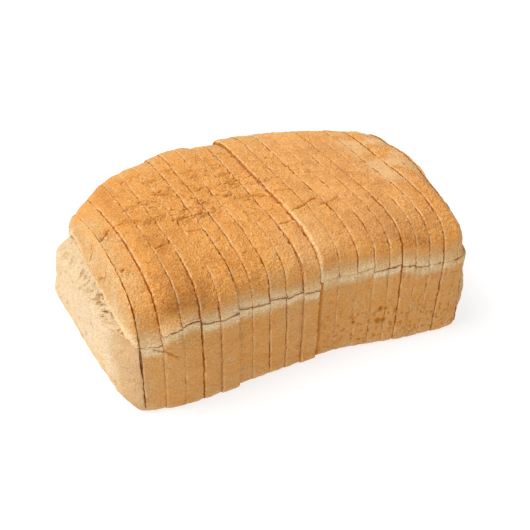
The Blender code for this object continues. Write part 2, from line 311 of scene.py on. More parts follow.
# Cracks in the left heel's crust, as (depth, height) points.
HEEL_CRACKS = (((56, 75), (47, 83), (39, 87), (37, 93), (41, 97)), ((99, 78), (105, 80)),
               ((70, 84), (66, 91), (69, 97)))
HEEL_CRACK_WIDTH = 0.5
HEEL_CRACK_DEPTH = 0.8
HEEL_CRACK_ENDS = (-0.3, 1.6)
HEEL_CRACK_RIPPLE = (0.8, 4, 98)

# A branch of the tear across the wall of the first slices, as (station, height) points.
WALL_CRACK = ((7, 60), (11, 58), (16, 56.5), (24, 50))
WALL_CRACK_WIDTH = 0.45
WALL_CRACK_DEPTH = 1.0
WALL_CRACK_END = (0, 2)
WALL_CRACK_DEPTHS = (40, 20)
# Painted shade in the branch of the tear.
WALL_CRACK_DARK = 0.8

# Pits in the right part of the wall, as (station, height, size).
SEEN_PITS = ((179, 35, 1.6), (183, 35, 1.0), (178, 24, 2.2), (182, 24, 1.5), (159, 26, 1.2),
             (165, 8, 0.9), (188, 20, 1.0), (157, 47, 0.7), (185, 31, 0.8), (172, 15, 0.8),
             (196, 28, 0.8), (205, 16, 0.8), (150, 12, 0.7), (140, 18, 0.6))
PIT_WALL = (30, 10)
PIT_STRETCH = 0.8
PIT_DEPTH = 0.7
# Painted shade inside the pits.
PIT_SHADE = (0.15, 0.5)

# Streaks, pleats, a dent and specks that the tin left in the walls, and the ragged base edge.
STREAK_STRETCH = np.array((1.0, 1.0, 9.0))
STREAK_NOISE = (1.7, 13)
STREAK_HEIGHTS = (-42, -8)
STREAK_DEPTH = 0.15
PLEAT_DEPTH = 0.6
PLEAT_HEIGHTS = (-17, -8)
PLEAT_STATIONS = (120, 190)
DENT_ABOVE = -11
DENT_RIPPLE = (1.6, 16, 14)
DENT_WIDTH = 0.8
DENT_DEPTH = 0.3
DENTED = (15, 15, -0.1, 0.5)
SPECKLES = (1.7, 16, 0.55, 1.05)
SPECKLE_HEIGHTS = (50, 30)
SPECKLE_STATIONS = (80, 165)
SPECKLE_DEPTH = 0.6
SPECKLE_DARK = 0.55
BASE_LINE = (2, 4)
BASE_SUNK = 0.18
BASE_RIPPLE = (0.42, 6, 17)

# How far the crown and the wall are baked, from pale at the tear, and how much more or less in
# places along the loaf.
MOTTLE_NOISE = (9, 3, 18)
TEAR_BAKE = 0.11
CROWN_BAKE = 0.65
CROWN_MOTTLE = 0.08
LIP_FADE = (1, 17)
LIP_FADE_SWELL = 4
BACK_PALE = (0.22, 132, 165)
TOP_TONES = ((0.10, 203, 32), (-0.06, 36, 10), (-0.28, 0, 13))
SHOULDER = (19, 13)
SHOULDER_TONES = ((-0.12, 6, 6), (0.24, 25, 12), (0.16, 42, 12), (-0.10, 97, 10), (0.06, 122, 8),
                  (0.10, 198, 20))
EAVE = (27, 8)
EAVE_DEPTHS = (60, 40)
EAVE_TONES = ((0.06, 80, 22), (0.12, 180, 30))
LIP = (3, 8)
LIP_TONES = ((0.14, 20, 20), (0.10, 160, 50), (0.28, 243, 22))
WALL_BAKE = 0.52
WALL_MOTTLE = 0.11
WALL_FADE = (-3.5, -11.5)
WALL_FADE_STREAK = 1.5
WALL_FADE_MOTTLE = -4
WALL_TONE = (-0.10, 4, 12)
BASE_LINE_PALE = 0.22
BASE_BAKE = 0.62
BASE_MOTTLE = 0.06

# Flour on the right part of the top, pale grains that are partly painted glints, and paler
# patches on a front shoulder and on the top.
FLOUR = (0.45, 203, 214)
FLOUR_HEIGHTS = (98, 104)
FLOUR_FRONT = (36, 62)
FLOUR_BACK = (150, 130)
FLOUR_NOISE = (12, 3, 19)
FLOUR_CLUMPS = (-0.9, 0.2)
SPECK_AND_GLINT_PALE = 0.8
SPECKS_AND_GLINTS = (1.2, 20, 1.1, 1.3)
SPECKED_AND_GLINTED = (20, 25, -0.3, 0.5)
SPECK_AND_GLINT_HEIGHTS = (92, 100)
SHOULDER_PALING = (0.24, 128, 24)
SHOULDER_PALING_ABOVE = (25, 9)
SHOULDER_PALING_DEPTHS = (60, 30)
TOP_PALING = (0.12, 180, 50)

# Cut edges: worn round, chipped, with crumbs and a pale rim painted as a highlight, and other
# noise on every slice and heel.
SLICE_SEED_STEP = 2
LEFT_HEEL_SEED = 1
RIGHT_HEEL_SEED = 3
EDGE_ROUND = 0.6
EDGE_WIDTH = 1.2
EDGE_REACH = 0.9
RIGHT_EDGE_SHARE = 0.4
SHUT_ROUNDING = 0.12
OPEN_ROUNDING = 0.9
EVEN_ROUNDING = 0.8
ROUNDING_RIPPLE = (0.6, 3.0, 30)
CHIPS = (2.2, 40, 0.45, 1.05)
CHIP_REACH = (1.2, 0)
CHIP_DEPTH = 0.6
SHUT_CHIPS = 0.25
# Painted shade in the chips.
CHIP_DARK = 0.6
LIT_RIM = (0.95, 0.5)
LIT_RIM_PATCHES = (5, 24, -0.7, 0.6)
LIT_RIM_PALE = 0.28
LIT_RIM_OPEN_PALE = 0.52
CRUMBS = (1.5, 60, 0.70, 1.0)
CRUMB_HEIGHTS = (60, 80)
CRUMB_SIZE = 0.25
CRUMB_PALE = 0.75
# Painted shade inside the tear: where it is full, and how dark.
TEAR_EDGE = (0.4, 0.05)
TEAR_DARK = 0.4

# The edge of the slice that stands out on the top: worn rounder, with a pale strip painted as a
# highlight, shut towards its neighbour, and with a shadow painted in the corner beside it in the
# wall.
STEP_EDGE_ROUND = 2.4
STEP_EDGE_WIDTHS = (2.7, 1.3)
STEP_EDGE_DEPTHS = (26, 70)
STEP_EDGE_ABOVE = (1, 5)
STEP_HIGHLIGHT_START = (0.1, 0.5)
STEP_HIGHLIGHT_INNER = 0.5
STEP_HIGHLIGHT_PALE = 0.25
STEP_HIGHLIGHT_WIDE_PALE = 0.4
STEP_HIGHLIGHT_RIPPLE = (0.4, 1.6, 26)
STEP_SHUT = 0.9
STEP_CORNER_SHADOW = (0.9, 3.6, 1.8)
STEP_CORNER_SHADOW_ABOVE = (1, -1)

# Cut faces: their pores, every value at their rim and in their middle, where the rim is darker
# or brighter than on most, and how far in its values are held on a wide open face.  The dark at
# a rim is painted shade of the gap between slices.
PORE_DEPTH = 0.35
PORE_NOISE = (2.4, 2, 80)
FACE_VALUES = {"bake": (0.6, 0.1), "dark": (0.45, 0.0), "pale": (0.0, 0.0), "crumb": (0.1, 1.0),
               "grain": (1.0, 1.0), "edge": (0.0, 3.0), "open": (0.0, 0.0)}
RIM_DARKS = {5: 0.1, 10: 0.1, 11: 0.8}
HEEL_RIM_DARK = 0.8
OPEN_CAP_HOLD = 1.8

# The edge of the top crust round the left heel, as depths and heights over the tear, with the
# notch and painted shadow under it and its pale line, partly pale torn crust and partly a painted
# highlight.
LIP_DEPTHS = (-8, 0, 23, 36, 52, 69, 82, 95, 121, 160, 180)
LIP_RISES = (0, 0.6, 4.4, 5.8, 9.4, 13.4, 14.2, 13.0, 8.6, 6.5, 6.0)
LIP_RIPPLES = ((0.8, 6, 90), (0.5, 2.2, 95))
LIP_RIPPLE_REACH = (0.2, 0.8)
RIGHT_LIP_SHARE = 0.15
LIP_NOTCH = 1.5
LIP_SHADOW = (-0.6, 1.0)
LIP_SHADOW_DARK = 0.75
LIP_PROUD = (0.9, 1.4, 1.6)
LIP_PALE_AND_HIGHLIGHT = (1.0, 1.7)
LIP_PALE_AND_HIGHLIGHT_REACH = (0.4, 0.9)

# The torn band under that edge, where it starts, how the end wall leans over it, and its holes.
BAND_FRONT = (15.5, -2, 34)
BAND_BACK = (172, 128)
BAND_RIPPLE = (0.25, 9, 96)
BAND_FADE = 0.65
BAND_FADE_SHIFT = -1
BAND_REACH = (0.55, 0.9)
BAND_LEAST = (0.5, 2.5)
BAND_LEAN = (0.85, 4, 40)
LEAST_BAND_SLOPE = 6
TORN_NOISE = (3.6, 3, 91)
TORN_RELIEF = 1.3
# Painted shade in the hollows of the torn band.
TORN_DARK = (0.25, 0, -0.9)
BAND_CRUMB = 0.9
HOLES = (2.3, 97, 0.25, 0.80)
HOLE_DEPTHS = (66, 48)
HOLE_SHARES = (0.75, 0.5)
HOLE_RELIEF = 2.2
# Painted shade in the holes.
HOLE_DARK = 0.6

# The heels' end walls and the end of their crowns.
HEEL_WALL_TOP = (0.3, -0.3)
CALM_STRETCH = np.array((1.0, 0.5, 1.6))
CALM_NOISE = (14, 3, 92)
HEEL_WALL_BAKE = 0.06
CALM_BAKE = 0.08
# Painted shade on the left heel's front corner, which turns away from the light: where it lies and
# how it changes bake, dark and crumb.
TURNED_CORNER_SHADE = (36, 2)
TURNED_SHADE_BAKE = 0.18
TURNED_SHADE_DARK = 0.32
TURNED_SHADE_CRUMB = 0.7
# Browner towards the base and the back of the end wall.
BROWNER_BASE = (0.12, 20, 0)
BROWNER_BACK = (0.06, 145, 168)
# Painted shadow under the lip near the front corner: where it lies and how dark it is.
SHADED_DEPTH = (6, 14)
SHADED_ABOVE = (-22, -6)
SHADED_DARK = 0.4
FLAWS = (4, 94, 1.0, 1.3)
FLAW_DEPTH = 0.4
FLAW_DARK = 0.4
CLEAN_WALL = 0.8
CROWN_END_REACH = (0.15, 0.8)
CROWN_END_SHARE = 0.8
CROWN_END_BAKE = 0.31
CROWN_END_MOTTLE = 0.16
CROWN_END_NOISE = (8, 2, 93)
PALE_LIP = (0.7, 50, 15)
PALE_LIP_ABOVE = (14, 1)

# How strong the finest grain is: in the walls, towards the top, at the crease and on the heels.
# Where it is weaker, more of the grey painted shade SMOOTH_SHADE is laid on the colour.
WALL_GRAIN = 0.7
CROWN_GRAIN_ABOVE = (2, 24)
CREASE_GRAIN = (0.5, 0, 11)
HEEL_WALL_GRAIN = 1.14
CROWN_END_GRAIN = 0.45

# Colours of the crust by bake, of the crumb by its noise, and of the rest.
BAKE_STOPS = (
    (0.00, (0.99, 0.77, 0.53, 1)),
    (0.11, (0.99, 0.73, 0.42, 1)),
    (0.27, (0.88, 0.57, 0.275, 1)),
    (0.50, (0.85, 0.46, 0.168, 1)),
    (0.75, (0.89, 0.41, 0.108, 1)),
    (1.00, (0.62, 0.25, 0.060, 1)),
)
CRUMB_STOPS = (
    (0.30, (0.64, 0.44, 0.22, 1)),
    (0.55, (0.82, 0.62, 0.37, 1)),
    (0.75, (0.92, 0.76, 0.52, 1)),
)
DARK_GRAIN = (0.82, 0.67, 0.49, 1)
LIGHT_GRAIN = (1.11, 1.20, 1.31, 1)
# A grey painted shade, laid on where the grain is weaker in place of the bump's own shade.
SMOOTH_SHADE = (0.55, 0.55, 0.58, 1)
# The line along a cut: painted shade of the gap between slices, partly the darker crust at the cut.
CUT_EDGE_AND_GAP_SHADE = (0.50, 0.145, 0.003, 1)
# The colour of the dark value: darker crust, and painted shade in hollows, grooves and corners.
DARK_COLOUR = (0.56, 0.205, 0.017, 1)
# The colour of the pale value: flour, crumbs and painted highlights.
PALE_COLOUR = (0.95, 0.69, 0.38, 1)

# The material's noises, as (waves a metre, detail, roughness), and how far they change it.
FINEST_NOISE = (1150, 2, 0.6)
FINE_NOISE = (760, 2, 0.6)
PATCH_NOISE = (230, 3, 0.55)
BROAD_NOISE = (50, 2, 0.55)
CRUMB_NOISE = (620, 4, 0.65)
SAW_NOISE = (520, 2, 0.55)
BUMP_NOISE = (380, 3, 0.55)
NOISE_SPAN = (0.3, 0.7)
FINE_AMOUNT = 0.36
PATCH_AMOUNT = 0.24
BROAD_AMOUNT = 0.15
AMOUNT_BY_BAKE = (0.0, 0.6, 0.35, 1.0)
ROUGHNESSES = (0.58, 0.78)
SPECULAR = 0.08
FINE_BUMP = 0.7
BROAD_BUMP = 0.6
BUMP_STRENGTH = 0.8
BUMP_DISTANCE = 1.9 * MM

# The line along a cut, painted shade of the gap between slices and partly the darker crust at
# the cut: its half width by openness, how jagged it is, where it is full, and how strong by
# openness.
LINE_WIDTH = 0.12
LINE_WIDENING = 0.70
LINE_SAW = 1.5
LINE_LEAST = 0.02
LINE_CORE = 0.3
LINE_STRENGTH = (0.05, 0.65, 0.12, 1.0)

# The studio, in metres.
CAMERA_PLACE = Vector((-0.1788, -0.4694, 0.388))
CAMERA_AIM = Vector((0.3035, 0.7587, -0.5764))
CAMERA_LENS = 52.98
CAMERA_SENSOR = 36.0
FLOOR_HALF = 4.0
FLOOR_COLOUR = (0.32, 0.32, 0.32, 1)
FLOOR_ROUGHNESS = 0.9
FLOOR_GLOW = 0.74
WHITE = (1.0, 1.0, 1.0, 1)
WORLD_LIGHT = 0.44
KEY_SOURCE = Vector((-0.50, 0.12, 0.86))
KEY_STRENGTH = 2.66
KEY_SOFTNESS = math.radians(40)


# ---------------- smooth helpers and noise

def bump(value, centre, width):
    """A smooth hill of height one."""
    return np.exp(-((value - centre) / width) ** 2)


def hills(value, *shapes):
    """The height of several hills together."""
    return sum(height * bump(value, centre, width) for height, centre, width in shapes)


def ramp(value, start, end):
    """A smooth step from nought at start to one at end."""
    share = np.clip((value - start) / (end - start), 0.0, 1.0)
    return share * share * (3 - 2 * share)


def rise(value, height, start, end):
    """A smooth step from nought at start to a height at end."""
    return height * ramp(value, start, end)


def blend(first, second, share):
    """From the first value to the second as the share goes from nought to one."""
    return first + (second - first) * share


LATTICE = 48
LATTICE_SEED = 7
LATTICE_VALUES = np.random.default_rng(LATTICE_SEED).uniform(-1.0, 1.0, (LATTICE,) * 3)
LATTICE_TURN = np.array(((0.36, 0.48, -0.80), (-0.80, 0.60, 0.0), (0.48, 0.64, 0.60)))
SEED_SHIFT = 17.31
LAYER_SHIFT = 5
NOISE_GAIN = 1.6


def noise(points, size, seed=0):
    """Seeded noise between about -1 and 1 at points, with features of the given size."""
    at = (points / size) @ LATTICE_TURN.T + seed * SEED_SHIFT
    cell = np.floor(at).astype(int)
    part = at - cell
    part = part ** 3 * (part * (part * 6 - 15) + 10)
    low = cell % LATTICE
    high = (cell + 1) % LATTICE
    total = 0.0
    for corner in range(8):
        pick = [(high if corner >> axis & 1 else low)[..., axis] for axis in range(3)]
        weight = 1.0
        for axis in range(3):
            share = part[..., axis]
            weight = weight * (share if corner >> axis & 1 else 1 - share)
        total = total + weight * LATTICE_VALUES[pick[0], pick[1], pick[2]]
    return total * NOISE_GAIN


def layered(points, size, layers, seed=0):
    """Noise with finer and fainter layers on top."""
    total = 0.0
    for layer in range(layers):
        total = total + noise(points, size / 2 ** layer, seed + LAYER_SHIFT * layer) / 2 ** layer
    return total / (2 - 2.0 ** (1 - layers))


def rippled(points, *ripples, shift=0):
    """Several noises together, with their seeds shifted."""
    return sum(height * noise(points, size, seed + shift) for height, size, seed in ripples)


def patches(points, size, seed, start, end, shift=0):
    """Patches of the given size: nought where the noise is under start and one over end."""
    return ramp(noise(points, size, seed + shift), start, end)


# ---------------- the loaf's form

def cut_stations():
    """The station of every cut, from the left heel to the right heel."""
    stations = [0.0]
    for index in range(SLICE_COUNT):
        share = index / (SLICE_COUNT - 1)
        thickness = blend(SLICE_THICKNESS_LEFT, SLICE_THICKNESS_RIGHT, share)
        thickness += THICKER_SLICES.get(index + 1, 0.0) - THINNER_SLICES.get(index + 1, 0.0)
        stations.append(stations[-1] + thickness)
    return stations


STATIONS = cut_stations()
LAST_CUT = STATIONS[-1]
STEP_STATION = STATIONS[STEP_SLICE - 1]


def cut_skew(station):
    """How far a cut is turned from square."""
    return CUT_SKEW - CUT_FAN * ramp(station, FAN_START, LAST_CUT)


def crease_height(station, stepped):
    """Height of the crease in the solids."""
    step = hills(station, (STEP_CREASE, STEP_STATION, STEP_CREASE_WIDTH)) if stepped else 0.0
    return CREASE_HEIGHT + hills(station, *CREASE_SWELLS) + step


def crown_height(station, depth, stepped):
    """Height of the top crust."""
    height = CROWN_HEIGHT + hills(station, *CROWN_SWELLS) + rise(station, *CROWN_RISE)
    height = height + rise(depth, *CROWN_BACK_RISE) * ramp(station, *CROWN_BACK_RISE_STATIONS)
    if stepped:
        height = height + hills(station, (STEP_CROWN, STEP_STATION, STEP_WIDTH))
    right_end = ramp(station, LAST_CUT - RIGHT_END_LENGTH, LAST_CUT + RIGHT_END_PAST)
    height = height - right_end * (RIGHT_END_DROP + rise(depth, *RIGHT_END_FRONT_DROP))
    height = height + hills(station, *CROWN_BACK_SWELLS) * ramp(depth, *CROWN_BACK_SWELL_DEPTHS)
    height = height - hills(station, RIGHT_BACK_DROP) * ramp(depth, *RIGHT_BACK_DROP_DEPTHS)
    return height - hills(station, LEFT_BACK_DROP) * ramp(depth, *LEFT_BACK_DROP_DEPTHS)


def back_trim(station):
    """How far the back of the crown curves in towards the heels."""
    past = max(station - LEFT_BACK_TRIM_START, 0.0)
    left = LEFT_BACK_TRIM * math.exp(-past / LEFT_BACK_TRIM_FADE)
    return left + RIGHT_BACK_TRIM * ramp(station, RIGHT_BACK_TRIM_START, LAST_CUT)


def corner_trim(station, amount):
    """How far the last slice curves in at the front towards the right heel."""
    past = max(station - LAST_CUT + FRONT_CORNER_LENGTH, 0.0)
    return amount * (past / FRONT_CORNER_LENGTH) ** 2


def wall_front(station, height, crease):
    """Depth of the front wall at a height."""
    flare = WALL_FLARE - BASE_FORWARD + hills(station, WALL_SWELL)
    flare = flare - corner_trim(station, FRONT_CORNER_LEAN)
    return -BASE_FORWARD - flare * np.sin(QUARTER_TURN * np.minimum(height / crease, 1.0))


def torn_crease(station, number, stepped):
    """Height of the tear in the front wall of a slice."""
    left, right = TEAR_JUMPS.get(number, (0.0, 0.0))
    near, far = STATIONS[max(number - 1, 0)], STATIONS[min(number, SLICE_COUNT)]
    share = (station - near) / (far - near) if far > near else 0.0
    start, step = TEAR_NOISE_PLACES
    at = np.array((station, start + step * number, 0.0))
    tear = crease_height(station, stepped) + blend(left, right, share)
    tear = tear + rippled(at, *TEAR_RIPPLES)
    return tear + rippled(at, ZIGZAG_RIPPLE) if number == ZIGZAG_SLICE else tear


def spread(depth, height, count):
    """The same line with count points, closer together at the front than at the back."""
    step = np.hypot(np.diff(depth), np.diff(height))
    middle = 0.5 * (depth[1:] + depth[:-1])
    along = np.concatenate(((0.0,), np.cumsum(step * (1.0 - rise(middle, *BACK_THINNING)))))
    wanted = np.linspace(0.0, along[-1], count)
    return np.interp(wanted, along, depth), np.interp(wanted, along, height)


def smoothed(line, width):
    """A line of evenly numbered points with its corners rounded and its ends kept."""
    reach = int(KERNEL_REACH * width)
    kernel = np.exp(-0.5 * (np.arange(-reach, reach + 1) / width) ** 2)
    kernel = kernel / kernel.sum()
    before = 2 * line[0] - line[reach:0:-1]
    after = 2 * line[-1] - line[-2:-reach - 2:-1]
    return np.convolve(np.concatenate((before, line, after)), kernel, "valid")


def crown_line(station, stepped, tear, lip_depth, back_lip, back_tear, reaches):
    """The crown's outline at a cut, from the front lip over the top to the back lip."""
    front_reach, back_reach = reaches
    spring = crease_height(station, stepped) + CROWN_SPRING
    front = CROWN_TURNS < QUARTER_TURN
    squareness = np.where(front, CROWN_FRONT_SQUARENESS, CROWN_BACK_SQUARENESS)
    across = np.abs(np.cos(CROWN_TURNS)) ** (2 / squareness)
    depth = CENTRE_DEPTH + np.where(front, -front_reach, back_reach) * across
    up = np.sin(CROWN_TURNS) ** (2 / squareness)
    height = blend(spring, crown_height(station, depth, stepped), up)
    depth = np.concatenate(((lip_depth,), depth, (back_lip + BACK_LIP_PROUD,)))
    height = np.concatenate(((tear + LIP_START,), height, (back_tear + TEAR_HALF_HEIGHT,)))
    return [smoothed(line, CROWN_SMOOTHING) for line in spread(depth, height, CROWN_POINTS)]


def outline(station, number, stepped, tear_depth=TEAR_DEPTH):
    """The loaf's outline at a cut: depth, height and height above the tear, from the base's
    back edge round by the front."""
    crease = crease_height(station, stepped)
    tear = torn_crease(station, number, stepped)
    trim = corner_trim(station, FRONT_CORNER_TRIM)
    rear_trim = back_trim(station)
    back_edge = BASE_WIDTH + BASE_BACKWARD - BASE_SHARE_OF_TRIM * rear_trim
    front_edge = trim - BASE_FORWARD
    proud = hills(station, (STEP_PROUD, STEP_STATION, STEP_WIDTH)) if stepped else 0.0
    radius = BASE_EDGE_RADIUS
    lines = []

    # The base, its front edge, the front wall and the tear.
    share = np.linspace(0.0, 1.0, BASE_POINTS, endpoint=False)
    lines.append((back_edge - radius - share * (back_edge - front_edge - 2 * radius), 0 * share))
    angle = np.linspace(0.0, QUARTER_TURN, EDGE_POINTS, endpoint=False)
    lines.append((front_edge + radius * (1 - np.sin(angle)), radius * (1 - np.cos(angle))))
    wall_top = tear - TEAR_HALF_HEIGHT
    height = np.linspace(radius, wall_top, WALL_POINTS, endpoint=False)
    lines.append((trim + wall_front(station, height, crease), height))
    lip = wall_front(station, crease, crease) + trim
    share = np.linspace(0.0, 1.0, TEAR_POINTS)
    tear_line = lip + tear_depth * np.sin(math.pi * share) ** TEAR_BLUNTNESS - proud * share
    lines.append((tear_line, wall_top + 2 * TEAR_HALF_HEIGHT * share))

    # The crown.
    crown_trim = corner_trim(station, FRONT_CORNER_CROWN_TRIM)
    reaches = (CENTRE_DEPTH - crown_trim + CROWN_FRONT_OVERHANG + proud,
               CENTRE_DEPTH + CROWN_BACK_OVERHANG - rear_trim)
    back_lip = min(back_edge + WALL_FLARE, CENTRE_DEPTH + reaches[1] - BACK_LIP_INSET)
    back_ripple = rippled(np.array((station, BACK_NOISE_PLACE, 0.0)), BACK_TEAR_RIPPLE)
    back_tear = crease + BACK_TEAR_RISE + back_ripple
    lines.append(crown_line(station, stepped, tear, tear_line[-1], back_lip, back_tear, reaches))

    # The tear at the back, the back wall and its lower edge.
    share = np.linspace(0.0, 1.0, BACK_TEAR_POINTS)[1:]
    lines.append((back_lip + (1 - share) * BACK_LIP_PROUD - tear_depth * np.sin(math.pi * share),
                  back_tear + TEAR_HALF_HEIGHT * (1 - 2 * share)))
    height = np.linspace(back_tear - TEAR_HALF_HEIGHT, radius, BACK_WALL_POINTS)[1:]
    flare = (back_lip - back_edge) * np.sin(QUARTER_TURN * np.minimum(height / crease, 1.0))
    lines.append((back_edge + flare, height))
    angle = np.linspace(0.0, QUARTER_TURN, EDGE_POINTS + 1)[1:]
    lines.append((back_edge - radius * (1 - np.cos(angle)), radius * (1 - np.sin(angle))))
    depth, height = (np.concatenate(parts) for parts in zip(*lines))
    above = height - np.where(depth < CENTRE_DEPTH, tear, back_tear)
    return depth, height, above


def place(station, depth, height, offset, beyond=0.0):
    """Points of a cut in the frame; beyond is measured square to the front edge."""
    skew = cut_skew(station)
    return np.stack((station + beyond - depth * np.sin(skew) + 0 * height,
                     depth * np.cos(skew) + hills(station, *ROW_BOWS) + offset + 0 * height,
                     height + 0 * depth), axis=-1) + FIRST_CUT_FRONT


def outward(grid):
    """Unit normals of a grid of rings, pointing out of the loaf."""
    along = np.gradient(grid, axis=0)
    around = np.roll(grid, -1, axis=1) - np.roll(grid, 1, axis=1)
    normal = np.cross(along, around)
    return normal / np.maximum(np.linalg.norm(normal, axis=-1, keepdims=True), TINY)


def inside_solids(grid):
    """Points kept inside the box of the solids."""
    return np.clip(grid, np.array(cad_low) / MM, np.array(cad_high) / MM)


# ---------------- cracks and pits

def scattered_cracks(rng):
    """Every crack of the top: the seen ones and short ones, most of them along the loaf."""
    cracks = list(SEEN_CRACKS)
    for _ in range(CRACK_COUNT):
        station = rng.triangular(*CRACK_STATIONS)
        depth = max(rng.gauss(*CRACK_DEPTHS), CRACK_FRONT)
        length = rng.uniform(*CRACK_LENGTHS)
        points = [(station, depth)]
        for _ in range(CRACK_PARTS):
            tilt = rng.gauss(*CRACK_TILTS)
            station += length * math.cos(tilt)
            depth += length * math.sin(tilt)
            points.append((station, depth))
        cracks.append((points, rng.uniform(*CRACK_STRENGTHS)))
    return cracks


CRACKS = scattered_cracks(random.Random(CRACK_SEED))


def line_distance(first, second, line):
    """Signed distance to a broken line, and how far a point lies inside its ends."""
    best = np.full_like(first, np.inf)
    inside = np.zeros_like(first)
    travelled = 0.0
    parts = list(zip(line, line[1:]))
    whole = sum(math.dist(*part) for part in parts)
    for start, end in parts:
        length = math.dist(start, end)
        level, climb = (end[0] - start[0]) / length, (end[1] - start[1]) / length
        right, up = first - start[0], second - start[1]
        along = right * level + up * climb
        across = up * level - right * climb
        beyond = np.maximum(np.maximum(-along, along - length), 0.0)
        signed = np.where(across < 0, -1.0, 1.0) * np.hypot(across, beyond)
        nearer = np.abs(signed) < np.abs(best)
        best = np.where(nearer, signed, best)
        at = travelled + np.clip(along, 0.0, length) - beyond
        inside = np.where(nearer, np.minimum(at, whole - at), inside)
        travelled += length
    return best, inside


def crack_relief(station, depth, height, points):
    """Height of the cracks (negative) and how dark they are: partly darker crust, partly painted
    shade of the groove.
    """
    relief = np.zeros_like(station)
    dark = np.zeros_like(station)
    waver = rippled(points, *CRACK_RIPPLES)
    on_top = ramp(height, *CRACK_HEIGHTS)
    for line, strength in CRACKS:
        first, last = line[0][0], line[-1][0]
        if max(first, last) < station.min() or min(first, last) > station.max():
            continue
        across, inside = line_distance(station, depth, line)
        across = across + waver
        share = ramp(inside, *CRACK_ENDS) * on_top * strength
        width = blend(*CRACK_WIDTHS, strength * ramp(inside, *CRACK_TAPER))
        relief += share * (hills(across, *CRACK_SIDES) - CRACK_GROOVE * bump(across, 0.0, width))
        crack_dark_and_shade = bump(across, CRACK_DARK_AND_SHADE_SHIFT, CRACK_DARK_AND_SHADE_WIDTH * width)
        dark = np.maximum(dark, np.minimum(CRACK_DARK * share, 1.0) * crack_dark_and_shade)
    return relief, dark


def pit_relief(station, depth, height):
    """Height of the pits in the front wall (negative), and the painted shade in them."""
    relief = np.zeros_like(station)
    dark = np.zeros_like(station)
    on_front = ramp(depth, *PIT_WALL)
    for pit_station, pit_height, size in SEEN_PITS:
        far = np.hypot(station - pit_station, PIT_STRETCH * (height - pit_height)) / size
        hollow = bump(far, 0.0, 1.0) * on_front
        relief -= PIT_DEPTH * size * hollow
        dark = np.maximum(dark, ramp(hollow, *PIT_SHADE))
    return relief, dark


def wall_split(station, depth, height):
    """The branch of the tear in the wall, from nought beside it to one in its middle."""
    across, inside = line_distance(station, height, WALL_CRACK)
    split = bump(across, 0.0, WALL_CRACK_WIDTH) * ramp(inside, *WALL_CRACK_END)
    return split * ramp(depth, *WALL_CRACK_DEPTHS)


# ---------------- crust relief and colour

def wall_marks(loaf, above, wall, streak):
    """Height of the streaks, pleats and dent of the walls, and how speckled they are."""
    station, _, height = np.moveaxis(loaf, -1, 0)
    pleated = ramp(above, *PLEAT_HEIGHTS) * ramp(station, *PLEAT_STATIONS)
    streaked = wall * (STREAK_DEPTH + PLEAT_DEPTH * pleated) * ramp(above, *STREAK_HEIGHTS)
    dent = bump(above, DENT_ABOVE + rippled(loaf, DENT_RIPPLE), DENT_WIDTH)
    dent = dent * patches(loaf, *DENTED)
    speckled = patches(loaf, *SPECKLES) * wall * ramp(height, *SPECKLE_HEIGHTS)
    speckled = speckled * ramp(station, *SPECKLE_STATIONS)
    return streaked * streak - DENT_DEPTH * dent * wall, speckled


def baking(loaf, above, base, swell, streak):
    """How far the crust is baked, from pale (0) to brown (1)."""
    station, depth, height = np.moveaxis(loaf, -1, 0)
    mottle = layered(loaf, *MOTTLE_NOISE)
    fade_start, fade_end = LIP_FADE
    crown = CROWN_BAKE * ramp(above, fade_start, fade_end + LIP_FADE_SWELL * swell)
    crown = crown + CROWN_MOTTLE * mottle - rise(depth, *BACK_PALE)
    crown = crown + ramp(height, *CREST) * hills(station, *TOP_TONES)
    crown = crown + bump(above, *SHOULDER) * hills(station, *SHOULDER_TONES)
    eave = bump(above, *EAVE) * ramp(depth, *EAVE_DEPTHS)
    crown = crown + eave * hills(station, *EAVE_TONES)
    fade_start, fade_end = WALL_FADE
    wall = WALL_BAKE * ramp(above, fade_start + WALL_FADE_STREAK * streak,
                            fade_end + WALL_FADE_MOTTLE * mottle)
    wall = wall + WALL_MOTTLE * mottle - BASE_LINE_PALE * bump(height, *BASE_LINE)
    wall = wall + hills(station, WALL_TONE)
    lip_tone = bump(above, *LIP) * hills(station, *LIP_TONES)
    bake = TEAR_BAKE + lip_tone + np.where(above > 0, crown, wall)
    return np.where(base > 0.5, BASE_BAKE + BASE_MOTTLE * mottle, bake)


def dusting(loaf, above):
    """How pale flour, grains that are partly painted glints, and paler patches make the crust."""
    station, depth, height = np.moveaxis(loaf, -1, 0)
    flour = rise(station, *FLOUR) * ramp(height, *FLOUR_HEIGHTS)
    flour = flour * ramp(layered(loaf, *FLOUR_NOISE), *FLOUR_CLUMPS)
    flour = flour * ramp(depth, *FLOUR_FRONT) * ramp(depth, *FLOUR_BACK)
    # Pale specks: partly crumbs, partly painted glints.
    speck_and_glint = SPECK_AND_GLINT_PALE * patches(loaf, *SPECKS_AND_GLINTS) * patches(loaf, *SPECKED_AND_GLINTED)
    shoulder_paling = hills(station, SHOULDER_PALING) * bump(above, *SHOULDER_PALING_ABOVE) * ramp(depth, *SHOULDER_PALING_DEPTHS)
    top_paling = hills(station, TOP_PALING) * ramp(height, *CREST)
    return np.maximum.reduce((flour, speck_and_glint * ramp(height, *SPECK_AND_GLINT_HEIGHTS), shoulder_paling, top_paling))


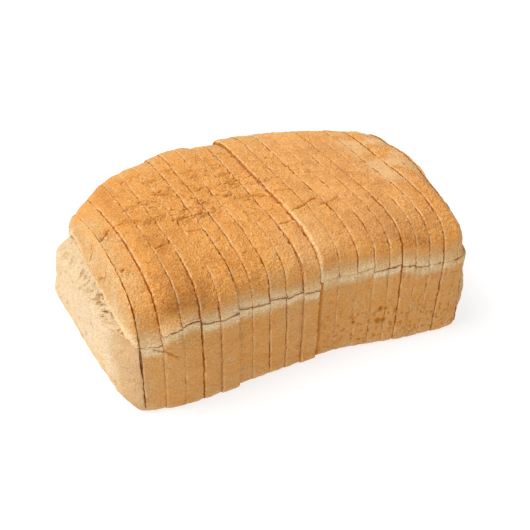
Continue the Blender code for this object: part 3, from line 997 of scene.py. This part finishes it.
def crust(loaf, above, edge, openness, rounding, seed):
    """Relief of the outer crust and its values bake, dark and pale.

    loaf holds station, depth and height of every point, above is the height over the tear, edge
    the distance to the nearer cut, openness how open that cut is and rounding how far the edge
    of the cut is worn down.
    """
    station, depth, height = np.moveaxis(loaf, -1, 0)
    swell = layered(loaf, *SWELL_NOISE)
    streak = noise(loaf / STREAK_STRETCH, *STREAK_NOISE)
    wall = 1 - ramp(above, *WALL_TOP)
    base = 1 - ramp(height, *BASE_TOP)
    lumps = SWELL * swell + LUMPS * layered(loaf, *LUMP_NOISE) - INWARD
    sunk = (BASE_SUNK + rippled(loaf, BASE_RIPPLE)) * bump(height, *BASE_LINE)
    relief = (lumps - sunk) * (1 - base) + GRAIN * layered(loaf, *GRAIN_NOISE)

    # Folds and cracks of the top, marks and pits of the walls.
    wrinkle = 1 - np.abs(layered(loaf / WRINKLE_STRETCH, *WRINKLE_NOISE))
    on_top = ramp(height, *CREST) * ramp(station, *WRINKLED_RIGHT) * ramp(station, *WRINKLED_LEFT)
    fold = ramp(wrinkle, *FOLD) * patches(loaf, *WRINKLED) * on_top
    cracked, crack_dark = crack_relief(station, depth, height, loaf)
    marked, speckled = wall_marks(loaf, above, wall, streak)
    pitted, pit_dark = pit_relief(station, depth, height)
    split = wall_split(station, depth, height)
    relief = relief - FOLD_DEPTH * fold + cracked + marked - SPECKLE_DEPTH * speckled + pitted
    relief = relief - WALL_CRACK_DEPTH * split

    # Cut edges: rounded, chipped and with crumbs.
    relief = relief - rounding * (EVEN_ROUNDING + rippled(loaf, ROUNDING_RIPPLE, shift=seed))
    chip = patches(loaf, *CHIPS, seed) * ramp(edge, *CHIP_REACH) * (SHUT_CHIPS + openness)
    crumbs = patches(loaf, *CRUMBS, seed) * bump(edge, *LIT_RIM) * ramp(height, *CRUMB_HEIGHTS)
    relief = relief - CHIP_DEPTH * chip + CRUMB_SIZE * crumbs

    # Dark: darker crust and painted shade in the cracks, painted shade in the pits, chips, folds, the
    # tear and its branch, and the wall's dark specks.
    inside_tear = ramp(np.abs(above), *TEAR_EDGE)
    dark = np.maximum.reduce((
        crack_dark, pit_dark, SPECKLE_DARK * speckled, CHIP_DARK * chip, TEAR_DARK * inside_tear,
        WALL_CRACK_DARK * split, FOLD_DARK * fold))
    pale = np.maximum(dusting(loaf, above), CRUMB_PALE * crumbs)
    return relief, baking(loaf, above, base, swell, streak), dark, pale


def grain_share(above):
    """How strong the finest grain is: full on the top, fainter at the crease and in the walls.
    Where it is fainter, more grey painted shade is laid on.
    """
    share = np.maximum(ramp(above, *CROWN_GRAIN_ABOVE), hills(above, CREASE_GRAIN))
    return blend(WALL_GRAIN, 1.0, share)


# ---------------- cuts

def worn_edge(edge, width):
    """A quarter round over the given width from a cut, one at the cut and nought inside."""
    return 1 - np.sqrt(1 - np.clip(1 - edge / width, 0.0, 1.0) ** 2)


def openness_along(joint, depth, height, above):
    """How open a cut is along its outline."""
    wall, shoulder, top, back = OPENNESS[joint]
    value = blend(wall, shoulder, ramp(above, *OPEN_SHOULDER_HEIGHTS))
    value = blend(value, top, ramp(depth, *OPEN_TOP_DEPTHS) * ramp(above, *OPEN_TOP_HEIGHTS))
    value = blend(value, back, ramp(depth, *OPEN_BACK_DEPTHS))
    at = np.stack((np.full_like(depth, CUT_NOISE_STEP * joint), depth, height), axis=-1)
    value = value + rippled(at, *OPEN_RIPPLES)
    value = value + ramp(above, *OPEN_CREST) * rippled(at, *OPEN_CREST_RIPPLES)
    return np.clip(value, 0.0, 1.0)


def cut_edge(joint, depth, height, openness):
    """How a cut wavers, and half its gap, along its outline."""
    at = np.stack((np.full_like(depth, CUT_NOISE_STEP * joint), depth, height), axis=-1)
    half = GAP_SPREAD * openness ** 2
    if joint == 0:
        half = half + hills(height, WEDGE) * ramp(depth, *WEDGE_DEPTHS)
    return rippled(at, *CUT_RIPPLES), half


# ---------------- meshes

def closed_rings(rings, count):
    """Faces between rings of count points, with a face over the first and the last."""
    start = (np.arange(rings - 1) * count)[:, None]
    index = np.arange(count)[None, :]
    after = (index + 1) % count
    quads = np.stack((start + index, start + count + index, start + count + after, start + after),
                     axis=-1).reshape(-1, 4).tolist()
    quads.append(list(range(count)))
    quads.append(list(range(rings * count - 1, (rings - 1) * count - 1, -1)))
    return quads


def add_object(name, data):
    """A new object in the scene."""
    added = bpy.data.objects.new(name, data)
    bpy.context.scene.collection.objects.link(added)
    return added


def make_piece(node, rings, values, smooth_rings, material):
    """A piece from stacked rings, with its values kept as attributes."""
    name = "loaf_" + node
    count = rings.shape[1]
    mesh = bpy.data.meshes.new(name)
    faces = closed_rings(len(rings), count)
    mesh.from_pydata((rings * MM).reshape(-1, 3).tolist(), [], faces)
    smooth = np.zeros(len(faces), bool)
    smooth[smooth_rings[0] * count:smooth_rings[1] * count] = True
    mesh.polygons.foreach_set("use_smooth", smooth)
    for label, field in values.items():
        layer = mesh.attributes.new(label, "FLOAT", "POINT")
        layer.data.foreach_set("value", field.astype(np.float32).ravel())
    mesh.materials.append(material)
    mesh.update()
    piece = add_object(name, mesh)
    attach(piece, "root")
    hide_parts(node)


def across_slice(near, far):
    """Stations of the rings of a slice, closer together at its cuts."""
    rim = np.array(RIM_RINGS)
    inner = np.arange(near + rim[-1], far - rim[-1], RING_SPACING)[1:]
    return np.concatenate((near + rim, inner, (far - rim)[::-1]))


def cut_face(ring, plane_ring, centre, insets, inward):
    """Rings of a cut face from its rim towards its centre, settling on the cut plane."""
    rows = []
    for inset in insets:
        row = blend(ring, centre, inset)
        settle = 1 - math.exp(-inset / CAP_SETTLING)
        target = blend(plane_ring[:, 0], centre[0], inset)
        pores = PORE_DEPTH * (0.5 + 0.5 * layered(row, *PORE_NOISE))
        row[:, 0] = blend(row[:, 0], target, settle) + inward * pores
        rows.append(row)
    return np.array(rows)


def face_shares(count):
    """Share of the rim's value on each ring of a cut face, from its middle to its rim."""
    hold = OPEN_CAP_HOLD if count > len(CAP_INSETS) else 1.0
    return np.minimum(np.linspace(0.0, hold, count), 1.0)[:, None]


def with_faces(fields, near, far, rim_dark):
    """Fields of the crust carried on over the cut faces before and after it, with near and far
    rings, from their values at the rim to those in the middle."""
    values = {}
    for label, field in fields.items():
        rim, middle = FACE_VALUES[label]
        rim = rim_dark if label == "dark" else rim
        across = np.ones((1, field.shape[1]))
        before = blend(middle, rim, face_shares(near)) * across
        after = blend(middle, rim, face_shares(far))[::-1] * across
        values[label] = np.concatenate((before, field, after))
    return values


def step_edge(loaf, above, from_left, on_left, rounding, openness):
    """The left edge of the slice that stands out: rounding, openness, and its painted highlight
    strip and the painted shadow in the corner beside it.
    """
    front_width, back_width = STEP_EDGE_WIDTHS
    width = blend(front_width, back_width, ramp(loaf[..., 1], *STEP_EDGE_DEPTHS))
    wide = width / front_width
    over_tear = ramp(above, *STEP_EDGE_ABOVE)
    rounding = rounding + STEP_EDGE_ROUND * worn_edge(from_left, width) * over_tear * wide
    step_highlight = ramp(from_left, width, STEP_HIGHLIGHT_INNER * width) * ramp(from_left, *STEP_HIGHLIGHT_START)
    step_highlight = step_highlight * over_tear * (STEP_HIGHLIGHT_PALE + STEP_HIGHLIGHT_WIDE_PALE * wide)
    step_highlight = step_highlight * (1 + rippled(loaf, STEP_HIGHLIGHT_RIPPLE))
    openness = openness * (1 - STEP_SHUT * on_left * over_tear)
    # Painted shadow in the wall's corner beside the slice that stands out.
    corner = rise(from_left, *STEP_CORNER_SHADOW) * ramp(above, *STEP_CORNER_SHADOW_ABOVE)
    return rounding, openness, step_highlight, corner


def slice_piece(number, rng, material):
    """One slice with its crust and both cut faces."""
    stepped = number >= STEP_SLICE
    offset = rng.uniform(-SLIDE_JITTER, SLIDE_JITTER) - FORWARD_STEPS.get(number, 0.0)
    lift = rng.uniform(-LIFT_JITTER, LIFT_JITTER)
    near, far = STATIONS[number - 1], STATIONS[number]
    stations = across_slice(near, far)
    lines = [outline(station, number, stepped) for station in stations]
    depth, height, above = (np.array(rows) for rows in zip(*lines))
    station = np.repeat(stations[:, None], depth.shape[1], axis=1)
    from_left, from_right = station - near, far - station
    edge = np.minimum(from_left, from_right)
    on_left = from_left < from_right
    open_left = openness_along(number - 1, depth[0], height[0], above[0])
    open_right = openness_along(number, depth[-1], height[-1], above[-1])
    waver_left, half_left = cut_edge(number - 1, depth[0], height[0], open_left)
    waver_right, half_right = cut_edge(number, depth[-1], height[-1], open_right)
    openness = np.where(on_left, open_left, open_right)
    rounding = EDGE_ROUND * worn_edge(edge, EDGE_WIDTH) * np.where(on_left, 1.0, RIGHT_EDGE_SHARE)
    rounding = rounding * (SHUT_ROUNDING + OPEN_ROUNDING * openness)
    loaf = np.stack((station, depth, height), axis=-1)
    step_highlight, corner = 0.0, 0.0
    if number == STEP_SLICE:
        rounding, openness, step_highlight, corner = step_edge(loaf, above, from_left, on_left, rounding,
                                                      openness)
    relief, bake, dark, pale = crust(loaf, above, edge, openness, rounding,
                                     SLICE_SEED_STEP * number)
    relief = relief - CROSS_SWELL * (2 * from_left / (far - near) - 1) ** 2
    # A painted highlight along the left rim of every slice.
    lit_rim = on_left * bump(edge, *LIT_RIM) * patches(loaf, *LIT_RIM_PATCHES)
    lit_rim = lit_rim * (LIT_RIM_PALE + LIT_RIM_OPEN_PALE * openness)
    lifted = height + lift * ramp(height, 0.0, CROWN_HEIGHT)
    grid = np.array([place(*ring, offset) for ring in zip(stations, depth, lifted)])
    normal = outward(grid)
    moved = np.where(on_left, waver_left + half_left, waver_right - half_right)
    grid[..., 0] += moved * np.exp(-edge / EDGE_REACH)
    grid = inside_solids(grid + normal * relief[..., None])

    faces = []
    for ring, plane, inward in ((0, near + half_left.mean(), 1.0),
                                (-1, far - half_right.mean(), -1.0)):
        insets = OPEN_CAP_INSETS if number == STEP_SLICE and ring == 0 else CAP_INSETS
        centre = place(plane, CENTRE_DEPTH, END_MIDDLE * CROWN_HEIGHT, offset)
        flat = place(plane, depth[ring], lifted[ring], offset)
        faces.append(cut_face(grid[ring], flat, centre, insets, inward))
    near_face, far_face = faces
    first, last = len(near_face), len(near_face) + len(grid) - 1
    # The painted corner shadow goes into dark; the painted highlights of the lit rim and the step
    # strip go into pale.
    fields = {"bake": bake, "dark": np.maximum(dark, corner),
              "pale": np.maximum(np.maximum(pale, lit_rim), step_highlight), "crumb": 0 * bake,
              "grain": grain_share(above), "edge": edge, "open": openness}
    rim_dark = RIM_DARKS.get(number, FACE_VALUES["dark"][0])
    values = with_faces(fields, len(near_face), len(far_face), rim_dark)
    rings = np.concatenate((near_face[::-1], grid, far_face))
    make_piece(f"slice_{number:02d}", rings, values, (first, last), material)


def heel_rows(cut_depth, cut_height, crease, front_corner):
    """Depth, height and reach of a heel's rings, from its cut to the middle of its end wall.

    Reach grows from nought at the cut to one where the end wall starts.
    """
    middle = END_MIDDLE * crease
    corner = np.where(cut_depth < CENTRE_DEPTH, front_corner, END_CORNER_BACK)
    high = ramp(cut_height, *(share * crease for share in END_CROWN_CORNER_HEIGHTS))
    corner = blend(corner, END_CROWN_CORNER, high)
    rows = []
    for turn in np.linspace(0.0, 1.0, HEEL_RINGS) ** HEEL_RING_CROWDING * QUARTER_TURN:
        reach, inset = math.sin(turn), 1 - math.cos(turn)
        depth = blend(CENTRE_DEPTH, cut_depth, 1 - corner / CENTRE_DEPTH * inset)
        risen = blend(crease, cut_height, 1 - END_CROWN_DROP * inset)
        sunk = cut_height + BASE_EDGE_RADIUS * inset * (1 - cut_height / crease)
        height = np.where(cut_height > crease, risen, sunk)
        rows.append((depth, height, np.full_like(depth, reach)))
    rim_depth, rim_height = rows[-1][:2]
    for index in range(1, END_RINGS):
        scale = 1 - (index / END_RINGS) ** END_RING_CROWDING
        rows.append((blend(CENTRE_DEPTH, rim_depth, scale), blend(middle, rim_height, scale),
                     np.ones_like(rim_depth)))
    return (np.array(rings) for rings in zip(*rows))


def heel_lip(depth, reach, left):
    """How far the edge of the top crust lies above the tear round a heel's end, and how far
    the torn band reaches down from it."""
    line = depth[..., None] * np.array((0.0, 1.0, 0.0))
    lip = np.interp(depth, LIP_DEPTHS, LIP_RISES) * (1.0 if left else RIGHT_LIP_SHARE)
    lip = lip + rippled(line, *LIP_RIPPLES) * ramp(reach, *LIP_RIPPLE_REACH)
    band_height = rise(depth, *BAND_FRONT) * ramp(depth, *BAND_BACK)
    return lip, band_height * (1 + rippled(line, BAND_RIPPLE))


def end_distance(depth, height, above, band_height, crease, left):
    """How far a heel's end wall lies beyond its cut."""
    thickness, wedge, full_lean, tuck = (
        (LEFT_HEEL_THICKNESS, LEFT_HEEL_WEDGE, LEFT_END_LEAN, 0.0) if left else
        (RIGHT_HEEL_THICKNESS, RIGHT_HEEL_WEDGE, RIGHT_END_LEAN, RIGHT_END_TUCK))
    over_band = ramp(above, -np.maximum(band_height, LEAST_BAND_SLOPE), 0.0)
    lean = ramp(height, *(share * crease for share in END_LEAN_HEIGHTS))
    lean = full_lean * blend(lean, over_band, rise(depth, *BAND_LEAN))
    lean = lean * (1 - rise(depth, *END_LEAN_BACK_LOSS))
    lean = lean + over_band * rise(depth, *END_CROWN_LEAN)
    lean = lean + tuck * ramp(height, *END_TUCK_HEIGHTS)
    return np.maximum(thickness + wedge * depth - lean, THINNEST_HEEL)


def heel_cracks(loaf, left):
    """The cracks of the left heel's crust, from nought beside them to one in their middle."""
    _, depth, height = np.moveaxis(loaf, -1, 0)
    cracked = np.zeros_like(depth)
    for line in HEEL_CRACKS if left else ():
        across, inside = line_distance(depth, height, line)
        across = across + rippled(loaf, HEEL_CRACK_RIPPLE)
        groove = bump(across, 0.0, HEEL_CRACK_WIDTH) * ramp(inside, *HEEL_CRACK_ENDS)
        cracked = np.maximum(cracked, groove)
    return cracked


def heel_surface(loaf, above, reach, band_height, left, crust_fields):
    """Relief and values of a heel: its crust, and the end wall and torn band under the lip."""
    relief, bake, dark, pale = crust_fields
    _, depth, height = np.moveaxis(loaf, -1, 0)
    wall = ramp(above, *HEEL_WALL_TOP)
    at_end = ramp(reach, *BAND_REACH)
    band = wall * ramp(-above, band_height, BAND_FADE * band_height + BAND_FADE_SHIFT)
    band = band * at_end * ramp(band_height, *BAND_LEAST)
    torn = layered(loaf, *TORN_NOISE)
    holes = patches(loaf, *HOLES) * band * ramp(depth, *HOLE_DEPTHS)
    holes = holes * ramp(-above, *(share * band_height for share in HOLE_SHARES))
    # Painted shadow right under the lip.
    shadow = wall * bump(above, *LIP_SHADOW) * at_end
    # Painted shadow under the lip at the front, which also takes the grain away for more grey painted
    # shade.
    shaded = wall * bump(depth, *SHADED_DEPTH) * ramp(above, *SHADED_ABOVE)
    # Painted shade on the end wall's front corner.
    turned_shade = ramp(depth, *TURNED_CORNER_SHADE) * wall
    flaw = patches(loaf, *FLAWS) * wall * (1 - band)
    cracked = heel_cracks(loaf, left) * (1 - wall)
    on_crown_end = ramp(reach, *CROWN_END_REACH) * (1 - wall)

    relief = relief - HEEL_CRACK_DEPTH * cracked - FLAW_DEPTH * flaw - LIP_NOTCH * shadow
    relief = relief + band * TORN_RELIEF * torn - HOLE_RELIEF * holes
    relief = relief + hills(above, LIP_PROUD) * (1 - wall) * reach
    crown_end = CROWN_END_BAKE + CROWN_END_MOTTLE * layered(loaf, *CROWN_END_NOISE)
    crown_end = crown_end * (1 - rise(depth, *PALE_LIP) * ramp(above, *PALE_LIP_ABOVE))
    calm = layered(loaf / CALM_STRETCH, *CALM_NOISE)
    browner_edges = np.maximum(rise(height, *BROWNER_BASE), rise(depth, *BROWNER_BACK))
    wall_bake = HEEL_WALL_BAKE + CALM_BAKE * calm + TURNED_SHADE_BAKE * turned_shade + browner_edges
    bake = blend(blend(bake, crown_end, CROWN_END_SHARE * on_crown_end), wall_bake, wall)
    # Dark: darker crust and painted shade in the cracks, painted shadow under the lip and at the
    # front, painted shade in the holes, the hollows of the torn band and on the turned corner, and
    # darker flaws.
    dark = np.maximum.reduce((
        dark * (1 - CLEAN_WALL * wall), cracked, LIP_SHADOW_DARK * shadow, SHADED_DARK * shaded,
        FLAW_DARK * flaw, HOLE_DARK * holes, TURNED_SHADE_DARK * turned_shade, band * rise(torn, *TORN_DARK)))
    # A pale line along the lip: partly pale torn crust, partly a painted highlight.
    pale = np.maximum(pale, bump(above, *LIP_PALE_AND_HIGHLIGHT) * ramp(reach, *LIP_PALE_AND_HIGHLIGHT_REACH)) * (1 - wall)
    grain = grain_share(above) * blend(1.0, HEEL_WALL_GRAIN, wall) * (1 - shaded)
    return relief, {"bake": bake, "dark": dark, "pale": pale,
                    "crumb": np.maximum(BAND_CRUMB * band, TURNED_SHADE_CRUMB * turned_shade),
                    "grain": grain + CROWN_END_GRAIN * on_crown_end}


def heel_piece(side, material):
    """A heel from its cut face over the crust to the middle of its end wall."""
    left = side < 0
    number, cut = (0, 0.0) if left else (SLICE_COUNT + 1, LAST_CUT)
    crease = crease_height(cut, not left)
    cut_depth, cut_height, cut_above = outline(cut, number, not left, 0.0)
    cut_depth, cut_height = (smoothed(line, HEEL_SMOOTHING) for line in (cut_depth, cut_height))
    front_corner = END_CORNER_FRONT if left else END_CORNER_BACK
    depth, height, reach = heel_rows(cut_depth, cut_height, crease, front_corner)
    lip, band_height = heel_lip(depth, reach, left)
    above = height - torn_crease(cut, number, not left) - lip
    beyond = side * reach * end_distance(depth, height, above, band_height, crease, left)
    edge = np.abs(beyond)
    joint = 0 if left else SLICE_COUNT
    openness = openness_along(joint, cut_depth, cut_height, cut_above)
    waver, half = cut_edge(joint, cut_depth, cut_height, openness)
    grid = place(cut, depth, height, 0.0, beyond)
    normal = side * outward(grid)
    grid[..., 0] += (waver + side * half) * np.exp(-edge / EDGE_REACH)
    loaf = np.stack((cut + beyond, depth, height), axis=-1)
    rounding = EDGE_ROUND * RIGHT_EDGE_SHARE * worn_edge(edge, EDGE_WIDTH) * openness
    crust_fields = crust(loaf, above, edge, openness, rounding,
                         LEFT_HEEL_SEED if left else RIGHT_HEEL_SEED)
    relief, fields = heel_surface(loaf, above, reach, band_height, left, crust_fields)
    fields.update(edge=edge, open=np.broadcast_to(openness, edge.shape))
    grid = inside_solids(grid + normal * relief[..., None])

    plane = cut + side * half.mean()
    centre = place(plane, CENTRE_DEPTH, END_MIDDLE * crease, 0.0)
    face = cut_face(grid[0], place(plane, cut_depth, cut_height, 0.0), centre, CAP_INSETS, side)
    rings = np.concatenate((face[::-1], grid))
    values = with_faces(fields, len(face), 0, HEEL_RIM_DARK)
    smooth_rings = (len(face), len(rings))
    if left:
        rings = rings[::-1]
        values = {label: field[::-1] for label, field in values.items()}
        smooth_rings = (0, len(grid) - 1)
    make_piece("heel_left" if left else "heel_right", rings, values, smooth_rings, material)


# ---------------- materials

class Nodes:
    """Short ways to add and join shader nodes."""

    def __init__(self, material):
        self.tree = material.node_tree
        self.place = self.add("ShaderNodeTexCoord").outputs["Object"]

    def add(self, kind, **settings):
        node = self.tree.nodes.new(kind)
        for key, value in settings.items():
            setattr(node, key, value)
        return node

    def link(self, source, target):
        if isinstance(source, (int, float, tuple)):
            target.default_value = source
        else:
            self.tree.links.new(source, target)

    def maths(self, operation, first, second, clamp=False):
        node = self.add("ShaderNodeMath", operation=operation, use_clamp=clamp)
        self.link(first, node.inputs[0])
        self.link(second, node.inputs[1])
        return node.outputs[0]

    def noise(self, scale, detail, roughness):
        node = self.add("ShaderNodeTexNoise")
        node.inputs["Scale"].default_value = scale
        node.inputs["Detail"].default_value = detail
        node.inputs["Roughness"].default_value = roughness
        self.link(self.place, node.inputs["Vector"])
        return node.outputs["Fac"]

    def value(self, name):
        return self.add("ShaderNodeAttribute", attribute_name=name).outputs["Fac"]

    def fit(self, value, start, end, low=0.0, high=1.0):
        """A smooth step of a value, from low at start to high at end."""
        node = self.add("ShaderNodeMapRange", interpolation_type="SMOOTHSTEP")
        for source, label in ((value, "Value"), (start, "From Min"), (end, "From Max"),
                              (low, "To Min"), (high, "To Max")):
            self.link(source, node.inputs[label])
        return node.outputs["Result"]

    def mix(self, share, first, second, way="MIX"):
        node = self.add("ShaderNodeMix", data_type="RGBA", blend_type=way)
        self.link(share, node.inputs["Factor"])
        self.link(first, node.inputs["A"])
        self.link(second, node.inputs["B"])
        return node.outputs["Result"]

    def ramp(self, share, stops):
        node = self.add("ShaderNodeValToRGB")
        elements = node.color_ramp.elements
        while len(elements) < len(stops):
            elements.new(0.5)
        for element, (position, colour) in zip(elements, stops):
            element.position = position
            element.color = colour
        self.link(share, node.inputs["Fac"])
        return node.outputs["Color"]


def bread_material():
    """Baked crust and crumb, with painted shade and highlights, by the values kept on the mesh."""
    material = bpy.data.materials.new("bread_crust")
    material.use_nodes = True
    nodes = Nodes(material)
    shader = material.node_tree.nodes["Principled BSDF"]
    finest = nodes.noise(*FINEST_NOISE)
    fine = nodes.noise(*FINE_NOISE)
    patch = nodes.noise(*PATCH_NOISE)
    broad = nodes.noise(*BROAD_NOISE)

    # Crust by its bake, with grain and a grey painted shade where the grain is weaker, then crumb,
    # the pale flour, crumbs and painted highlights, and the dark crust and painted shade.
    bake = nodes.value("bake")
    amplitude = nodes.fit(bake, *AMOUNT_BY_BAKE)
    for field, amount in ((fine, FINE_AMOUNT), (patch, PATCH_AMOUNT), (broad, BROAD_AMOUNT)):
        centred = nodes.maths("MULTIPLY", nodes.maths("SUBTRACT", field, 0.5), amount)
        bake = nodes.maths("ADD", bake, nodes.maths("MULTIPLY", centred, amplitude), clamp=True)
    colour = nodes.ramp(bake, BAKE_STOPS)
    share = nodes.value("grain")
    grain = nodes.mix(nodes.fit(finest, *NOISE_SPAN), DARK_GRAIN, LIGHT_GRAIN)
    colour = nodes.mix(share, colour, grain, "MULTIPLY")
    # The grey painted shade where the grain is weaker.
    colour = nodes.mix(nodes.maths("SUBTRACT", 1.0, share), colour, SMOOTH_SHADE, "MULTIPLY")
    crumb_colour = nodes.ramp(nodes.noise(*CRUMB_NOISE), CRUMB_STOPS)
    colour = nodes.mix(nodes.value("crumb"), colour, crumb_colour)
    colour = nodes.mix(nodes.value("pale"), colour, PALE_COLOUR)
    colour = nodes.mix(nodes.value("dark"), colour, DARK_COLOUR)

    # The jagged line along a cut: painted shade of the gap between slices, partly darker crust.
    openness = nodes.value("open")
    saw = nodes.maths("SUBTRACT", nodes.noise(*SAW_NOISE), 0.5)
    saw = nodes.maths("MULTIPLY", saw, LINE_SAW)
    wider = nodes.maths("MULTIPLY", openness, nodes.maths("MULTIPLY", openness, LINE_WIDENING))
    width = nodes.maths("ADD", nodes.maths("MULTIPLY", openness, LINE_WIDTH), wider)
    width = nodes.maths("MAXIMUM", nodes.maths("ADD", width, saw), LINE_LEAST)
    near_cut = nodes.fit(nodes.value("edge"), width, nodes.maths("MULTIPLY", width, LINE_CORE))
    line = nodes.maths("MULTIPLY", near_cut, nodes.fit(openness, *LINE_STRENGTH))
    nodes.link(nodes.mix(line, colour, CUT_EDGE_AND_GAP_SHADE), shader.inputs["Base Color"])

    nodes.link(nodes.fit(patch, *NOISE_SPAN, *ROUGHNESSES), shader.inputs["Roughness"])
    shader.inputs["Specular IOR Level"].default_value = SPECULAR
    height = nodes.maths("ADD", nodes.maths("MULTIPLY", fine, FINE_BUMP),
                         nodes.maths("MULTIPLY", nodes.noise(*BUMP_NOISE), BROAD_BUMP))
    bump_node = nodes.add("ShaderNodeBump")
    bump_node.inputs["Strength"].default_value = BUMP_STRENGTH
    bump_node.inputs["Distance"].default_value = BUMP_DISTANCE
    nodes.link(nodes.maths("MULTIPLY", height, share), bump_node.inputs["Height"])
    nodes.link(bump_node.outputs["Normal"], shader.inputs["Normal"])
    return material


def paper_material():
    """Pale paper, bright enough to take most of the loaf's shadow away."""
    material = bpy.data.materials.new("floor_paper")
    material.use_nodes = True
    shader = material.node_tree.nodes["Principled BSDF"]
    for label, value in (("Base Color", FLOOR_COLOUR), ("Roughness", FLOOR_ROUGHNESS),
                         ("Specular IOR Level", 0.0), ("Emission Color", WHITE),
                         ("Emission Strength", FLOOR_GLOW)):
        shader.inputs[label].default_value = value
    return material


# ---------------- studio

def studio():
    """Floor, light and camera."""
    half = FLOOR_HALF
    mesh = bpy.data.meshes.new("floor")
    mesh.from_pydata([(-half, -half, 0), (half, -half, 0), (half, half, 0), (-half, half, 0)],
                     [], [(0, 1, 2, 3)])
    mesh.materials.append(paper_material())
    floor = add_object("floor", mesh)

    world = bpy.data.worlds.new("studio")
    world.use_nodes = True
    back = world.node_tree.nodes["Background"]
    back.inputs["Color"].default_value = WHITE
    back.inputs["Strength"].default_value = WORLD_LIGHT
    bpy.context.scene.world = world

    sun = bpy.data.lights.new("key", "SUN")
    sun.energy = KEY_STRENGTH
    sun.angle = KEY_SOFTNESS
    light = add_object("key", sun)
    light.rotation_euler = (-KEY_SOURCE).to_track_quat("-Z", "Y").to_euler()

    lens = bpy.data.cameras.new("camera")
    lens.sensor_width = CAMERA_SENSOR
    lens.lens = CAMERA_LENS
    camera = add_object("camera", lens)
    camera.location = CAMERA_PLACE
    camera.rotation_euler = CAMERA_AIM.to_track_quat("-Z", "Y").to_euler()
    bpy.context.scene.camera = camera
    bpy.context.scene.view_settings.view_transform = "Standard"


def main():
    """The studio and every piece of the loaf, from the left heel to the right one."""
    studio()
    material = bread_material()
    rng = random.Random(JITTER_SEED)
    heel_piece(-1, material)
    for number in range(1, SLICE_COUNT + 1):
        slice_piece(number, rng, material)
    heel_piece(1, material)


main()
